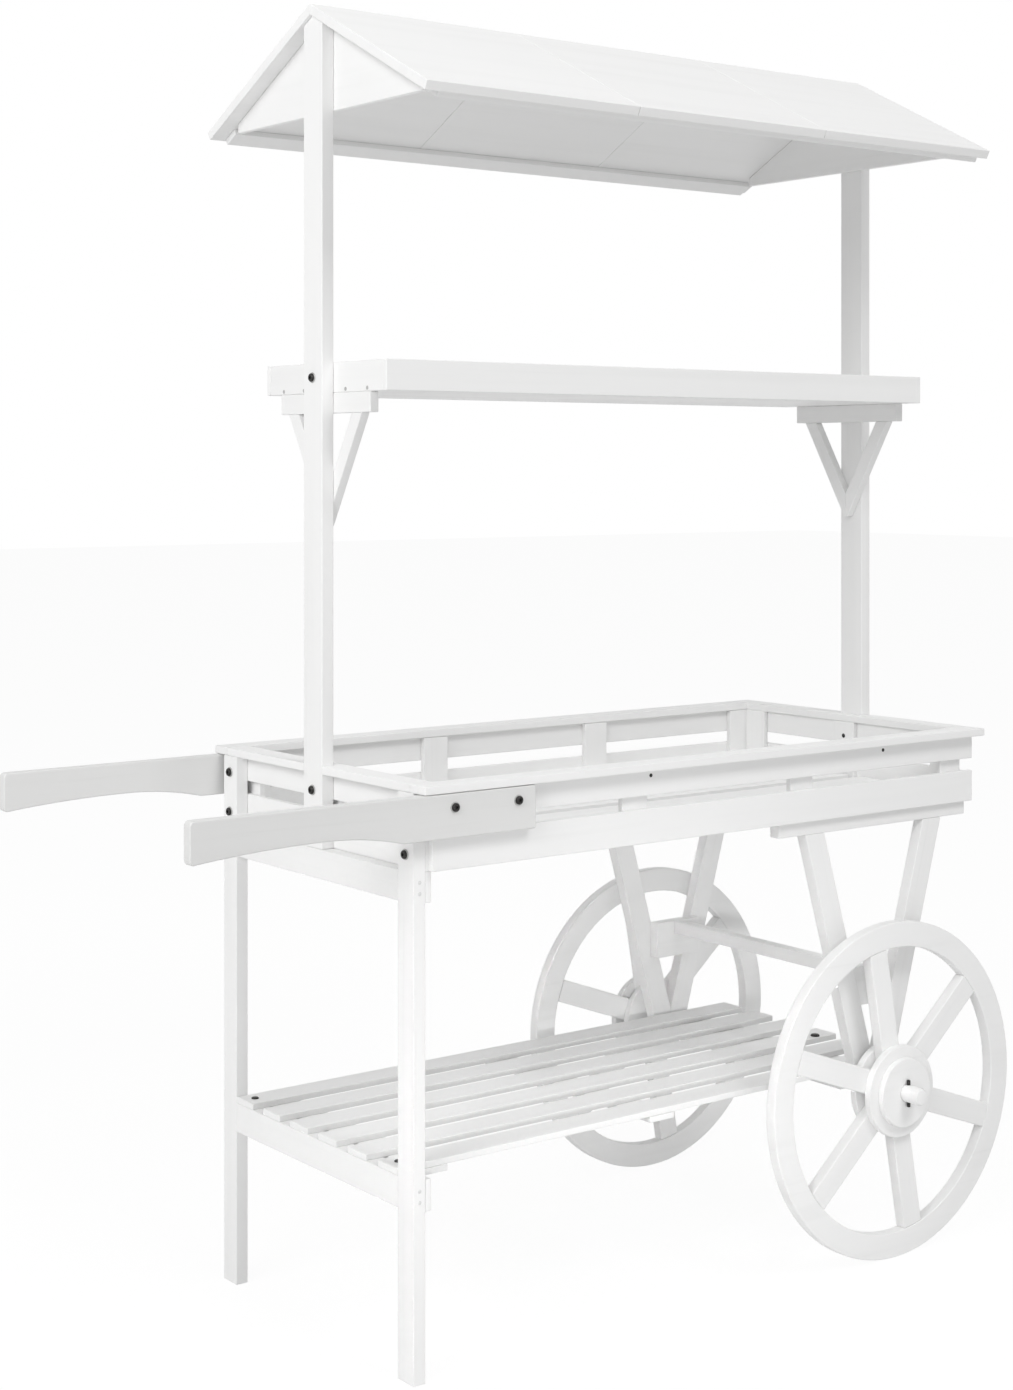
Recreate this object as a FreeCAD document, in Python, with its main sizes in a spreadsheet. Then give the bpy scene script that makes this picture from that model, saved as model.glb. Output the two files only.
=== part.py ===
import FreeCAD, Part
import os
import re

import Sketcher
from FreeCAD import Placement, Rotation, Vector

# A rolling display cart of painted boards: a slatted tray on two legs and an axle with two spoked wheels,
# two handles at the left end, and two posts that carry a narrow shelf and a gable roof.
#
# X runs along the cart, from the handles to the wheels, Y from its front to its back, and Z up from the
# floor. The origin is on the floor, in the middle of the whole cart. The formulas below measure x from the
# outer face of the legs, and the same shift brings every piece to the origin. The cart is alike on both
# sides of y = 0.

SIZES = {
    # The whole cart
    "cart_height": 2000.0,
    "cart_width": 535.0,
    "frame_length": 1172.0,
    "frame_thickness": 21.0,
    "board_thickness": 10.0,
    "slat_width": 50.0,
    "fit_gap": 0.3,
    "overrun": 5.0,
    # Legs and their two cross rails
    "leg_width": 40.0,
    "apron_height": 45.0,
    "lower_rail_height": 46.0,
    # Posts, which run from the tray to the ridge
    "post_width": 52.0,
    # Tray
    "tray_bottom": 727.0,
    "tray_depth": 112.5,
    "lower_board_height": 52.5,
    "upper_board_height": 39.5,
    "side_board_inset": 4.0,
    "side_board_overhang": 10.0,
    "side_upright_count": 4,
    "floor_slat_count": 7,
    "floor_slat_end_gap": 12.0,
    "floor_slat_side_gap": 2.0,
    "rim_thickness": 12.5,
    "rim_width": 40.0,
    "rim_overhang": 28.6,
    # Handles
    "handle_thickness": 18.0,
    "handle_reach": 373.0,
    "handle_lap": 198.0,
    "handle_top_gap": 0.7,
    "handle_depth": 63.8,
    "handle_tip_depth": 59.5,
    "handle_neck_depth": 48.0,
    "handle_neck_reach": 165.0,
    "handle_neck_start": 35.0,
    "handle_bolt_drop": 20.5,
    "handle_first_bolt": 52.0,
    "handle_second_bolt": 165.0,
    # Axle and the struts that carry it
    "axle_from_right_end": 240.0,
    "axle_size": 28.0,
    "axle_chamfer": 3.0,
    "axle_tip_overhang": 33.0,
    "cleat_length": 440.0,
    "cleat_height": 23.0,
    "strut_width": 43.8,
    "strut_head_spread": 139.0,
    "strut_foot_spread": 14.0,
    "strut_foot_drop": 30.5,
    "tie_length": 100.0,
    "tie_height": 64.0,
    "tie_thickness": 20.0,
    "tie_bottom": 403.0,
    "stretcher_width": 20.0,
    "stretcher_height": 23.0,
    # Wheels
    "wheel_radius": 275.5,
    "wheel_rim_width": 41.5,
    "wheel_thickness": 20.0,
    "wheel_stand_off": 28.0,
    "spoke_count": 6,
    "spoke_width": 40.0,
    "spoke_first_angle": -20.0,
    "hub_core_radius": 45.0,
    "hub_flange_radius": 73.0,
    "hub_flange_thickness": 13.0,
    "hub_plate_radius": 75.0,
    "hub_plate_thickness": 13.0,
    "hub_cap_radius": 56.5,
    "hub_cap_thickness": 11.0,
    "spacer_radius": 24.0,
    "bearing_clearance": 0.06,
    "pin_radius": 3.0,
    "pin_length": 44.0,
    "pin_play": 0.5,
    # Lower shelf
    "lower_shelf_past_axle": 115.0,
    "lower_slat_count": 6,
    "lower_slat_side_gap": 1.0,
    "axle_seat_gap": 0.5,
    "first_batten_inset": 39.0,
    "second_batten_inset": 475.0,
    "axle_bearer_width": 25.0,
    "axle_bearer_height": 28.0,
    # Middle shelf
    "shelf_bottom": 1413.0,
    "shelf_width": 336.0,
    "shelf_lip_height": 46.0,
    "shelf_slat_count": 5,
    "shelf_slat_pitch": 58.7,
    "bearer_length": 251.0,
    "bearer_thickness": 15.0,
    "bearer_height": 31.0,
    "brace_spread": 102.5,
    "brace_width": 28.0,
    "brace_drop": 170.5,
    "brace_foot_spread": 4.0,
    # Roof
    "roof_half_span": 309.7,
    "roof_rise": 157.5,
    "roof_thickness": 15.0,
    "roof_overhang": 6.0,
    "roof_right_inset": 2.0,
    "roof_sheet_count": 3,
    "roof_sheet_joint": 0.6,
    "gable_side_gap": 50.7,
    "gable_height": 146.2,
    "eave_batten_width": 31.0,
    "eave_batten_inset": 5.0,
    # Bolts, screws and nails
    "bolt_size": 8.0,
    "bolt_head_radius": 6.4,
    "bolt_head_height": 3.4,
    "bolt_head_rim": 1.2,
    "bolt_crown_radius": 4.6,
    "socket_width": 5.0,
    "socket_depth": 2.4,
    "nut_width": 13.0,
    "nut_height": 6.5,
    "nut_clearance": 0.1,
    "washer_radius": 8.0,
    "washer_thickness": 1.6,
    "bolt_tip": 2.0,
    "leg_screw_cover": 3.0,
    "post_screw_tip": 1.0,
    "tray_bolt_rise": 24.0,
    "tray_bolt_drop": 25.5,
    "nail_radius": 3.0,
    "nail_head_height": 0.8,
    "nail_spread": 16.0,
    "board_screw_drop": 9.0,
    "first_board_screw": 433.0,
    "second_board_screw": 941.0,
    "slat_bolt_radius": 6.0,
    "slat_bolt_height": 2.5,
    "slat_bolt_inset": 19.0,
    "loose_bolt_radius": 8.0,
    "loose_bolt_height": 4.0,
    "loose_bolt_inset": 42.0,
    "loose_bolt_offset": 54.5,
}

# Places that follow from the sizes: widths from the middle plane, heights from the floor, and x from the legs
DERIVED = {
    "axle_from_leg": "frame_length - axle_from_right_end",
    "origin_x": "(axle_from_leg + wheel_radius - handle_reach) / 2",
    "half_width": "cart_width / 2",
    "leg_inner": "half_width - leg_width",
    "inner_end": "frame_thickness + board_thickness",
    "right_inner_end": "frame_length - inner_end",
    "tray_top": "tray_bottom + tray_depth",
    "rim_outer": "half_width + rim_overhang",
    "rim_inner": "rim_outer - rim_width",
    "post_half": "post_width / 2",
    "board_face": "half_width + board_thickness",
    "apron_bottom": "tray_bottom - apron_height",
    "slat_seat": "wheel_radius + axle_size / 2 + axle_seat_gap",
    "lower_rail_bottom": "slat_seat - lower_rail_height",
    "slat_top": "slat_seat + board_thickness",
    "strut_inner": "half_width - frame_thickness",
    "tie_inner": "strut_inner - tie_thickness",
    "strut_head": "tray_bottom - cleat_height",
    "strut_slope": "(strut_head_spread - strut_foot_spread) / (strut_head - wheel_radius)",
    "strut_half": "strut_width / 2",
    "lower_shelf_length": "axle_from_leg + lower_shelf_past_axle",
    "lower_field": "leg_inner - lower_slat_side_gap",
    "lower_slat_pitch": "(2 * lower_field - slat_width) / (lower_slat_count - 1)",
    "floor_field": "half_width - board_thickness - floor_slat_side_gap",
    "floor_slat_pitch": "(2 * floor_field - slat_width) / (floor_slat_count - 1)",
    "upright_pitch": "(right_inner_end - inner_end - slat_width) / (side_upright_count - 1)",
    "wheel_inner": "half_width + wheel_stand_off",
    "wheel_outer": "wheel_inner + wheel_thickness",
    "plate_outer": "wheel_outer + hub_plate_thickness",
    "cap_outer": "plate_outer + hub_cap_thickness",
    "axle_tip": "cap_outer + axle_tip_overhang",
    "pin_place": "cap_outer + pin_play + pin_radius",
    "wheel_rim_inner": "wheel_radius - wheel_rim_width",
    "bore_radius": "axle_size / 2 + bearing_clearance",
    "bolt_hole": "bolt_size / 2 + fit_gap",
    "low_bolt": "tray_bottom + tray_bolt_rise",
    "high_bolt": "tray_top - tray_bolt_drop",
    "shelf_bolt": "shelf_bottom + shelf_lip_height / 2",
    "handle_bolt": "tray_top - handle_bolt_drop",
    "handle_top": "tray_top - handle_top_gap",
    "shelf_half": "shelf_width / 2",
    "lip_inner": "shelf_half - board_thickness",
    "brace_head": "shelf_bottom - bearer_height",
    "brace_slope": "(brace_spread - brace_foot_spread) / brace_drop",
    "roof_slope": "roof_rise / roof_half_span",
    "roof_stretch": "sqrt(1 + roof_slope * roof_slope)",
    "ridge_underside": "cart_height - roof_thickness * roof_stretch",
    "gable_bottom": "ridge_underside - gable_height",
    "gable_half_width": "roof_half_span - gable_side_gap",
    "roof_length": "frame_length + roof_overhang - roof_right_inset",
    "sheet_length": "roof_length / roof_sheet_count",
    "end_grip": "frame_thickness + 2 * board_thickness",
}

doc = FreeCAD.newDocument("display_cart")
sheet = doc.addObject("Spreadsheet::Sheet", "sizes")
for row, (alias, size) in enumerate(SIZES.items(), start=1):
    sheet.set(f"A{row}", str(size))
    sheet.setAlias(f"A{row}", alias)
doc.recompute()

nodes = []
drilled = []


# Formulas and places

def spelled(formula):
    """A formula with each size written as its cell in the sheet."""
    def spell(match):
        word = match.group()
        if word in DERIVED:
            return f"({spelled(DERIVED[word])})"
        return f"sizes.{word}" if word in SIZES else word

    return re.sub(r"[a-z_]+", spell, str(formula))


def value(formula):
    """The number that a formula gives with the sheet's present sizes."""
    return float(sheet.evalExpression(spelled(formula)))


def place(piece, x, y, z):
    """Bind where a piece lies: x from the legs' outer face, y from the middle plane, z from the floor."""
    for axis, formula in zip("xyz", (f"{x} - origin_x", y, z)):
        piece.setExpression(f"Placement.Base.{axis}", spelled(formula))


def bound(piece, **formulas):
    """Bind a piece's own sizes."""
    for name, formula in formulas.items():
        piece.setExpression(name, spelled(formula))
    return piece


def node(piece, label):
    """Keep a piece as a sub-part of the cart under its own label."""
    piece.Label = label
    nodes.append(piece)
    return piece


def group(pieces, label):
    """Several separate pieces of one kind as one sub-part."""
    together = doc.addObject("Part::Compound", f"{label}_group")
    together.Links = pieces
    return node(together, label)


# Boards, plates and discs

def board(name, corner, size):
    """A straight board from its low corner and its size along X, Y and Z."""
    length, width, height = size
    box = bound(doc.addObject("Part::Box", name), Length=length, Width=width, Height=height)
    place(box, *corner)
    return box


def mirrored_y(y, width):
    """The low y of a board's twin on the other side of the middle plane."""
    return f"-({y}) - ({width})"


def board_pair(name, corner, size):
    """A board and its twin at the back."""
    x, y, z = corner
    twin = (x, mirrored_y(y, size[1]), z)
    return [board(f"{name}_front", corner, size), board(f"{name}_back", twin, size)]


def arc_between(first, second, middle_u):
    """The arc from one point to the next about a centre at middle_u, and whether it runs clockwise."""
    (u1, v1), (u2, v2) = first, second
    middle_v = ((u2 - u1) * (u1 + u2 - 2 * middle_u) / (v2 - v1) + v1 + v2) / 2
    centre = Vector(middle_u, middle_v, 0)
    start, end = Vector(u1, v1, 0), Vector(u2, v2, 0)
    clockwise = (start - centre).cross(end - centre).z < 0
    if clockwise:
        start, end = end, start
    circle = Part.Circle(centre, Vector(0, 0, 1), (start - centre).Length)
    return Part.ArcOfCircle(circle, circle.parameter(start), circle.parameter(end)), clockwise


def new_sketch(body, plane, name):
    """An empty sketch on one of a body's own planes."""
    sketch = body.newObject("Sketcher::SketchObject", name)
    support = next(feature for feature in body.Origin.OriginFeatures if feature.Role == f"{plane}_Plane")
    sketch.AttachmentSupport = [(support, "")]
    sketch.MapMode = "FlatFace"
    return sketch


def constrain(sketch, constraint, formula):
    """Add a dimension and bind it to a formula."""
    index = sketch.addConstraint(constraint)
    sketch.setExpression(f"Constraints[{index}]", spelled(formula))


def pin_point(sketch, line, end, u, v):
    """Hold one point of a line or arc at its distance from the origin."""
    constrain(sketch, Sketcher.Constraint("DistanceX", -1, 1, line, end, value(u)), u)
    constrain(sketch, Sketcher.Constraint("DistanceY", -1, 1, line, end, value(v)), v)


def draw_outline(sketch, outline):
    """A closed outline of corners (u, v). A third entry bends the side that follows about that u."""
    corners = [(value(corner[0]), value(corner[1])) for corner in outline]
    ends = []
    for index, corner in enumerate(outline):
        here, there = corners[index], corners[(index + 1) % len(corners)]
        if len(corner) > 2:
            side, clockwise = arc_between(here, there, value(corner[2]))
        else:
            side, clockwise = Part.LineSegment(Vector(*here, 0), Vector(*there, 0)), False
        sketch.addGeometry(side)
        ends.append((2, 1) if clockwise else (1, 2))
    for index, corner in enumerate(outline):
        following = (index + 1) % len(outline)
        sketch.addConstraint(
            Sketcher.Constraint("Coincident", index, ends[index][1], following, ends[following][0]))
        pin_point(sketch, index, ends[index][0], corner[0], corner[1])
        if len(corner) > 2:
            constrain(sketch, Sketcher.Constraint("DistanceX", -1, 1, index, 3, value(corner[2])), corner[2])


def draw_circle(sketch, u, v, radius):
    """A circle whose centre and radius are bound."""
    circle = sketch.addGeometry(Part.Circle(Vector(value(u), value(v), 0), Vector(0, 0, 1), value(radius)))
    pin_point(sketch, circle, 3, u, v)
    constrain(sketch, Sketcher.Constraint("Radius", circle, value(radius)), radius)


def padded(body, sketch, plane, thickness):
    """Pad a sketch towards +X, +Y or +Z. The XZ plane itself looks towards -Y."""
    pad = body.newObject("PartDesign::Pad", f"{body.Name}_pad")
    pad.Profile = sketch
    pad.Reversed = plane == "XZ"
    bound(pad, Length=thickness)
    return pad


def plate(name, plane, outline, thickness, corner, holes=()):
    """A flat piece cut to an outline, with round holes (u, v, radius) through it."""
    body = doc.addObject("PartDesign::Body", name)
    sketch = new_sketch(body, plane, f"{name}_outline")
    draw_outline(sketch, outline)
    pad = padded(body, sketch, plane, thickness)
    if holes:
        hole_sketch = new_sketch(body, plane, f"{name}_holes")
        for hole in holes:
            draw_circle(hole_sketch, *hole)
        pocket = body.newObject("PartDesign::Pocket", f"{name}_pocket")
        pocket.Profile = hole_sketch
        pocket.Type = "ThroughAll"
        pocket.Reversed = not pad.Reversed
        drilled.append((pocket, pad))
    place(body, *corner)
    return body


def rectangle(low_u, high_u, low_v, high_v):
    """The outline of a straight board."""
    return [(low_u, low_v), (high_u, low_v), (high_u, high_v), (low_u, high_v)]


def disc(name, radius, bore, thickness, corner):
    """A round disc with a round bore, square to Y."""
    body = doc.addObject("PartDesign::Body", name)
    sketch = new_sketch(body, "XZ", f"{name}_circles")
    draw_circle(sketch, "0", "0", radius)
    draw_circle(sketch, "0", "0", bore)
    padded(body, sketch, "XZ", thickness)
    place(body, *corner)
    return body


def turned(piece, axis, angle, corner):
    """A copy of a piece turned about an axis through its own origin, then put in place."""
    copy = doc.addObject("Part::Compound", f"{piece.Name}_turned")
    copy.Links = [piece]
    copy.Placement = Placement(Vector(), Rotation(axis, 1))
    bound(copy, **{"Placement.Rotation.Angle": angle})
    place(copy, *corner)
    return copy


# Legs, their cross rails and the posts

def legs_and_rails():
    """Two legs joined by an apron and a lower rail, each rail backed by a thin board across the legs."""
    screws = [("leg_width / 2", "low_bolt", "bolt_hole"), ("leg_width / 2", "high_bolt", "bolt_hole")]
    outline = rectangle("0", "leg_width", "0", "tray_top")
    for side, y in (("front", "-half_width"), ("back", "leg_inner")):
        leg = plate(f"leg_{side}_board", "YZ", outline, "frame_thickness", ("0", y, "0"), screws)
        node(leg, f"leg_{side}")
    across = "2 * leg_inner"
    apron_size = ("frame_thickness", across, "apron_height")
    node(board("apron_board", ("0", "-leg_inner", "apron_bottom"), apron_size), "apron")
    rail_size = ("frame_thickness", across, "lower_rail_height")
    node(board("lower_rail_board", ("0", "-leg_inner", "lower_rail_bottom"), rail_size), "lower_rail")
    backers = [
        board(f"{name}_backer", ("frame_thickness", "-half_width", z),
              ("board_thickness", "cart_width", height))
        for name, z, height in (("apron", "apron_bottom", "apron_height"),
                                ("lower_rail", "lower_rail_bottom", "lower_rail_height"))
    ]
    group(backers, "rail_backers")


def posts():
    """Two posts, cut to a point that fits under the ridge."""
    shoulder = "ridge_underside - post_half * roof_slope - tray_bottom"
    outline = [
        ("-post_half", "0"), ("post_half", "0"), ("post_half", shoulder),
        ("0", "ridge_underside - tray_bottom"), ("-post_half", shoulder),
    ]
    holes = [("0", f"{z} - tray_bottom", "bolt_hole") for z in ("low_bolt", "high_bolt", "shelf_bolt")]
    for side, x in (("left", "0"), ("right", "frame_length - frame_thickness")):
        post = plate(f"post_{side}_board", "YZ", outline, "frame_thickness", (x, "0", "tray_bottom"), holes)
        node(post, f"post_{side}")


# Tray

def tray_walls():
    """Two boards one above the other on each side and at each end, with a gap between them."""
    bands = (("lower", "tray_bottom", "lower_board_height"),
             ("upper", "tray_top - upper_board_height", "upper_board_height"))
    side_x = "frame_thickness + side_board_inset"
    side_length = f"frame_length - frame_thickness + side_board_overhang - ({side_x})"
    for band, z, height in bands:
        bolt_height = "low_bolt" if band == "lower" else "high_bolt"
        end_holes = [(y, f"{bolt_height} - ({z})", "bolt_hole") for y in ("leg_width / 2 - half_width", "0")]
        end_holes.append(("half_width - leg_width / 2", f"{bolt_height} - ({z})", "bolt_hole"))
        outline = rectangle("-half_width", "half_width", "0", height)
        places = (("left", "frame_thickness", end_holes), ("right", "right_inner_end", end_holes[1:2]))
        ends = [
            plate(f"tray_{band}_{hand}_board", "YZ", outline, "board_thickness", (x, "0", z), holes)
            for hand, x, holes in places
        ]
        group(ends, f"tray_{band}_ends")
        side_holes = []
        if band == "upper":
            side_holes = [(f"{x} - ({side_x})", f"handle_bolt - ({z})", "bolt_hole")
                          for x in ("handle_first_bolt", "handle_second_bolt")]
        side_outline = rectangle("0", side_length, "0", height)
        for side, y in (("front", "-board_face"), ("back", "half_width")):
            wall = plate(f"tray_{band}_{side}_board", "XZ", side_outline, "board_thickness", (side_x, y, z),
                         side_holes)
            node(wall, f"tray_{band}_{side}")


def tray_uprights():
    """Short flat uprights inside the walls, which hold the two boards of each wall together."""
    side_outline = rectangle("0", "slat_width", "0", "tray_depth")
    handle_hole = ("handle_first_bolt - inner_end", "handle_bolt - tray_bottom", "bolt_hole")
    sides = []
    for index in range(int(SIZES["side_upright_count"])):
        x = f"inner_end + {index} * upright_pitch"
        holes = [handle_hole] if index == 0 else []
        for side, y in (("front", "-half_width"), ("back", "half_width - board_thickness")):
            sides.append(plate(f"side_upright_{side}_{index}", "XZ", side_outline, "board_thickness",
                               (x, y, "tray_bottom"), holes))
    group(sides, "tray_side_uprights")
    corner = "half_width - board_thickness - slat_width"
    screw_place = "half_width - leg_width / 2"
    places = (("front", f"-({corner}) - slat_width", f"-({screw_place})"), ("middle", "-slat_width / 2", "0"),
              ("back", corner, screw_place))
    ends = []
    for end, x in (("left", "inner_end"), ("right", "right_inner_end - board_thickness")):
        for name, y, hole_y in places:
            drill = end == "left" or name == "middle"
            holes = [(f"{hole_y} - ({y})", f"{z} - tray_bottom", "bolt_hole")
                     for z in ("low_bolt", "high_bolt")] if drill else []
            ends.append(plate(f"end_upright_{end}_{name}", "YZ", side_outline, "board_thickness",
                              (x, y, "tray_bottom"), holes))
    group(ends, "tray_end_uprights")


def tray_floor():
    """Long slats on four cross bearers that lie between the side uprights."""
    bearer_size = ("slat_width", "cart_width - 2 * board_thickness", "board_thickness")
    last = int(SIZES["side_upright_count"]) - 1
    clear_of_end = {0: " + board_thickness", last: " - board_thickness"}
    bearers = [
        board(f"floor_bearer_{index}",
              (f"inner_end + {index} * upright_pitch{clear_of_end.get(index, '')}",
               "board_thickness - half_width", "tray_bottom"), bearer_size)
        for index in range(last + 1)
    ]
    group(bearers, "tray_floor_bearers")
    x = "inner_end + board_thickness + floor_slat_end_gap"
    length = "right_inner_end - inner_end - 2 * (board_thickness + floor_slat_end_gap)"
    slats = [
        board(f"floor_slat_{index}",
              (x, f"{index} * floor_slat_pitch - floor_field", "tray_bottom + board_thickness"),
              (length, "slat_width", "board_thickness"))
        for index in range(int(SIZES["floor_slat_count"]))
    ]
    group(slats, "tray_floor_slats")


def tray_rim():
    """Flat rails along the top of the walls. The end rails are notched round the posts."""
    rails = board_pair("rim_rail", ("0", "-rim_outer", "tray_top"),
                       ("frame_length", "rim_width", "rim_thickness"))
    node(rails[0], "rim_front")
    node(rails[1], "rim_back")
    notch = "post_half + fit_gap"
    depth = "frame_thickness + fit_gap"
    left = [
        ("0", "-rim_inner"), ("rim_width", "-rim_inner"), ("rim_width", "rim_inner"), ("0", "rim_inner"),
        ("0", notch), (depth, notch), (depth, f"-({notch})"), ("0", f"-({notch})"),
    ]
    right = [(f"rim_width - ({u})", f"-({v})") for u, v in left]
    ends = [
        plate("rim_left_board", "XY", left, "rim_thickness", ("0", "0", "tray_top")),
        plate("rim_right_board", "XY", right, "rim_thickness", ("frame_length - rim_width", "0", "tray_top")),
    ]
    group(ends, "rim_ends")


# Handles

def handles():
    """Two handles bolted outside the tray, thinned to a neck by a long curve on the underside."""
    neck = "-handle_neck_reach"
    outline = [
        ("-handle_reach", "-handle_tip_depth", neck),
        (neck, "-handle_neck_depth", neck),
        ("-handle_neck_start", "-handle_depth"),
        ("handle_lap", "-handle_depth"),
        ("handle_lap", "0"),
        ("-handle_reach", "0"),
    ]
    holes = [(x, "-handle_bolt_drop + handle_top_gap", "bolt_hole")
             for x in ("handle_first_bolt", "handle_second_bolt")]
    for side, y in (("front", "-board_face - handle_thickness"), ("back", "board_face")):
        handle = plate(f"handle_{side}_board", "XZ", outline, "handle_thickness",
                       ("0", y, "handle_top"), holes)
        node(handle, f"handle_{side}")


# Axle, struts and lower shelf

def struts():
    """Two struts on each side in a V round the axle, under a cleat, with a tie across them."""
    cleat_corner = ("axle_from_leg - cleat_length / 2", "-half_width", "strut_head")
    group(board_pair("cleat", cleat_corner, ("cleat_length", "frame_thickness", "cleat_height")), "cleats")
    crotch = "(strut_half - strut_foot_spread) / strut_slope"
    right = [
        ("0", "-strut_foot_drop"),
        ("strut_foot_spread + strut_half - strut_slope * strut_foot_drop", "-strut_foot_drop"),
        ("strut_head_spread + strut_half", "strut_head - wheel_radius"),
        ("strut_head_spread - strut_half", "strut_head - wheel_radius"),
        ("0", crotch),
    ]
    left = [(f"-({u})", v) for u, v in right]
    bore = [("0", "0", "axle_size / 2 + fit_gap")]
    for side, y in (("front", "-half_width"), ("back", "strut_inner")):
        pair = [
            plate(f"strut_{side}_{hand}", "XZ", outline, "frame_thickness",
                  ("axle_from_leg", y, "wheel_radius"), bore)
            for hand, outline in (("left", left), ("right", right))
        ]
        group(pair, f"struts_{side}")
    tie_corner = ("axle_from_leg - tie_length / 2", "-strut_inner", "tie_bottom")
    group(board_pair("tie", tie_corner, ("tie_length", "tie_thickness", "tie_height")), "strut_ties")
    stretcher_corner = ("axle_from_leg - stretcher_width / 2", "-tie_inner",
                        "tie_bottom + tie_height - stretcher_height")
    stretcher_size = ("stretcher_width", "2 * tie_inner", "stretcher_height")
    node(board("stretcher_board", stretcher_corner, stretcher_size), "stretcher")


def axle():
    """A square wooden axle with round ends for the wheels, and a cross pin near each tip."""
    core_corner = ("axle_from_leg - axle_size / 2", "-strut_inner", "wheel_radius - axle_size / 2")
    core = board("axle_core", core_corner, ("axle_size", "2 * strut_inner", "axle_size"))
    body = doc.addObject("PartDesign::Body", "axle_round")
    sketch = new_sketch(body, "XZ", "axle_circle")
    draw_circle(sketch, "0", "0", "axle_size / 2")
    pad = padded(body, sketch, "XZ", "2 * axle_tip")
    doc.recompute()
    chamfer = bound(body.newObject("PartDesign::Chamfer", "axle_tips"), Size="axle_chamfer")
    rims = [f"Edge{index + 1}" for index, edge in enumerate(pad.Shape.Edges) if edge.isClosed()]
    chamfer.Base = (pad, rims)
    place(body, "axle_from_leg", "-axle_tip", "wheel_radius")
    whole = doc.addObject("Part::Fuse", "axle_whole")
    whole.Base, whole.Tool = core, body
    pins = [upright_pin(f"axle_pin_{side}", "pin_radius", "pin_length", sign)
            for side, sign in (("front", "-"), ("back", ""))]
    holes = doc.addObject("Part::Compound", "pin_holes")
    holes.Links = [upright_pin(f"pin_hole_{side}", "pin_radius + fit_gap", "pin_length", sign)
                   for side, sign in (("front", "-"), ("back", ""))]
    bored = doc.addObject("Part::Cut", "axle_bored")
    bored.Base, bored.Tool = whole, holes
    node(bored, "axle")
    group(pins, "axle_pins")


def upright_pin(name, radius, length, sign):
    """A round pin that stands across the axle just outside a wheel's hub."""
    pin = bound(doc.addObject("Part::Cylinder", name), Radius=radius, Height=length)
    place(pin, "axle_from_leg", f"{sign}(pin_place)", f"wheel_radius - ({length}) / 2")
    return pin


def spacers():
    """Round spacers on the axle that keep the wheels clear of the struts."""
    thickness = "wheel_stand_off - hub_flange_thickness - fit_gap"
    rings = [
        disc(f"spacer_{side}", "spacer_radius", "axle_size / 2 + fit_gap", thickness,
             ("axle_from_leg", y, "wheel_radius"))
        for side, y in (("front", f"-half_width - ({thickness})"), ("back", "half_width"))
    ]
    group(rings, "wheel_spacers")


def lower_shelf():
    """Slats from the lower rail past the axle, on two flat battens and two bearers beside the axle."""
    slats = [
        board(f"lower_slat_{index}", ("0", f"{index} * lower_slat_pitch - lower_field", "slat_seat"),
              ("lower_shelf_length", "slat_width", "board_thickness"))
        for index in range(int(SIZES["lower_slat_count"]))
    ]
    group(slats, "lower_shelf_slats")
    battens = [
        board(f"lower_batten_{index}", (x, "-lower_field", "slat_seat - board_thickness"),
              ("slat_width", "2 * lower_field", "board_thickness"))
        for index, x in enumerate(("first_batten_inset", "second_batten_inset"))
    ]
    group(battens, "lower_shelf_battens")
    bearers = [
        board(f"axle_bearer_{hand}", (x, "-lower_field", "slat_seat - axle_bearer_height"),
              ("axle_bearer_width", "2 * lower_field", "axle_bearer_height"))
        for hand, x in (("left", "axle_from_leg - axle_size / 2 - axle_bearer_width"),
                        ("right", "axle_from_leg + axle_size / 2"))
    ]
    group(bearers, "axle_bearers")


# Wheels

def wheel(side, sign):
    """A wheel of a flat ring, six flat spokes and a hub of stacked discs, bored to run on the axle."""
    def across(inner, outer):
        """The low y of a disc that lies between two distances from the middle plane."""
        return f"-({outer})" if sign < 0 else inner

    def hub_disc(name, radius, inner, outer):
        corner = ("axle_from_leg", across(inner, outer), "wheel_radius")
        return disc(f"{name}_{side}", radius, "bore_radius", f"({outer}) - ({inner})", corner)

    corner = ("axle_from_leg", across("wheel_inner", "wheel_outer"), "wheel_radius")
    ring = disc(f"wheel_ring_{side}", "wheel_radius", "wheel_rim_inner", "wheel_thickness", corner)
    node(ring, f"wheel_{side}_rim")
    blank = bound(doc.addObject("Part::Box", f"spoke_blank_{side}"), Length="wheel_radius",
                  Width="wheel_thickness", Height="spoke_width")
    bound(blank, **{"Placement.Base.z": "-spoke_width / 2"})
    count = int(SIZES["spoke_count"])
    blanks = doc.addObject("Part::Compound", f"spoke_blanks_{side}")
    angles = [f"spoke_first_angle + {index} * 360 / spoke_count" for index in range(count)]
    blanks.Links = [turned(blank, Vector(0, -1, 0), angle, corner) for angle in angles]
    window = disc(f"spoke_field_{side}", "wheel_rim_inner", "hub_core_radius", "wheel_thickness", corner)
    spokes = doc.addObject("Part::Common", f"spokes_cut_{side}")
    spokes.Base, spokes.Tool = blanks, window
    node(spokes, f"wheel_{side}_spokes")
    node(hub_disc("hub_core", "hub_core_radius", "wheel_inner", "wheel_outer"), f"wheel_{side}_hub_core")
    flange = hub_disc("hub_flange", "hub_flange_radius", "wheel_inner - hub_flange_thickness", "wheel_inner")
    node(flange, f"wheel_{side}_hub_flange")
    stack = [hub_disc("hub_plate", "hub_plate_radius", "wheel_outer", "plate_outer"),
             hub_disc("hub_cap", "hub_cap_radius", "plate_outer", "cap_outer")]
    group(stack, f"wheel_{side}_hub_discs")


# Middle shelf

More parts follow.
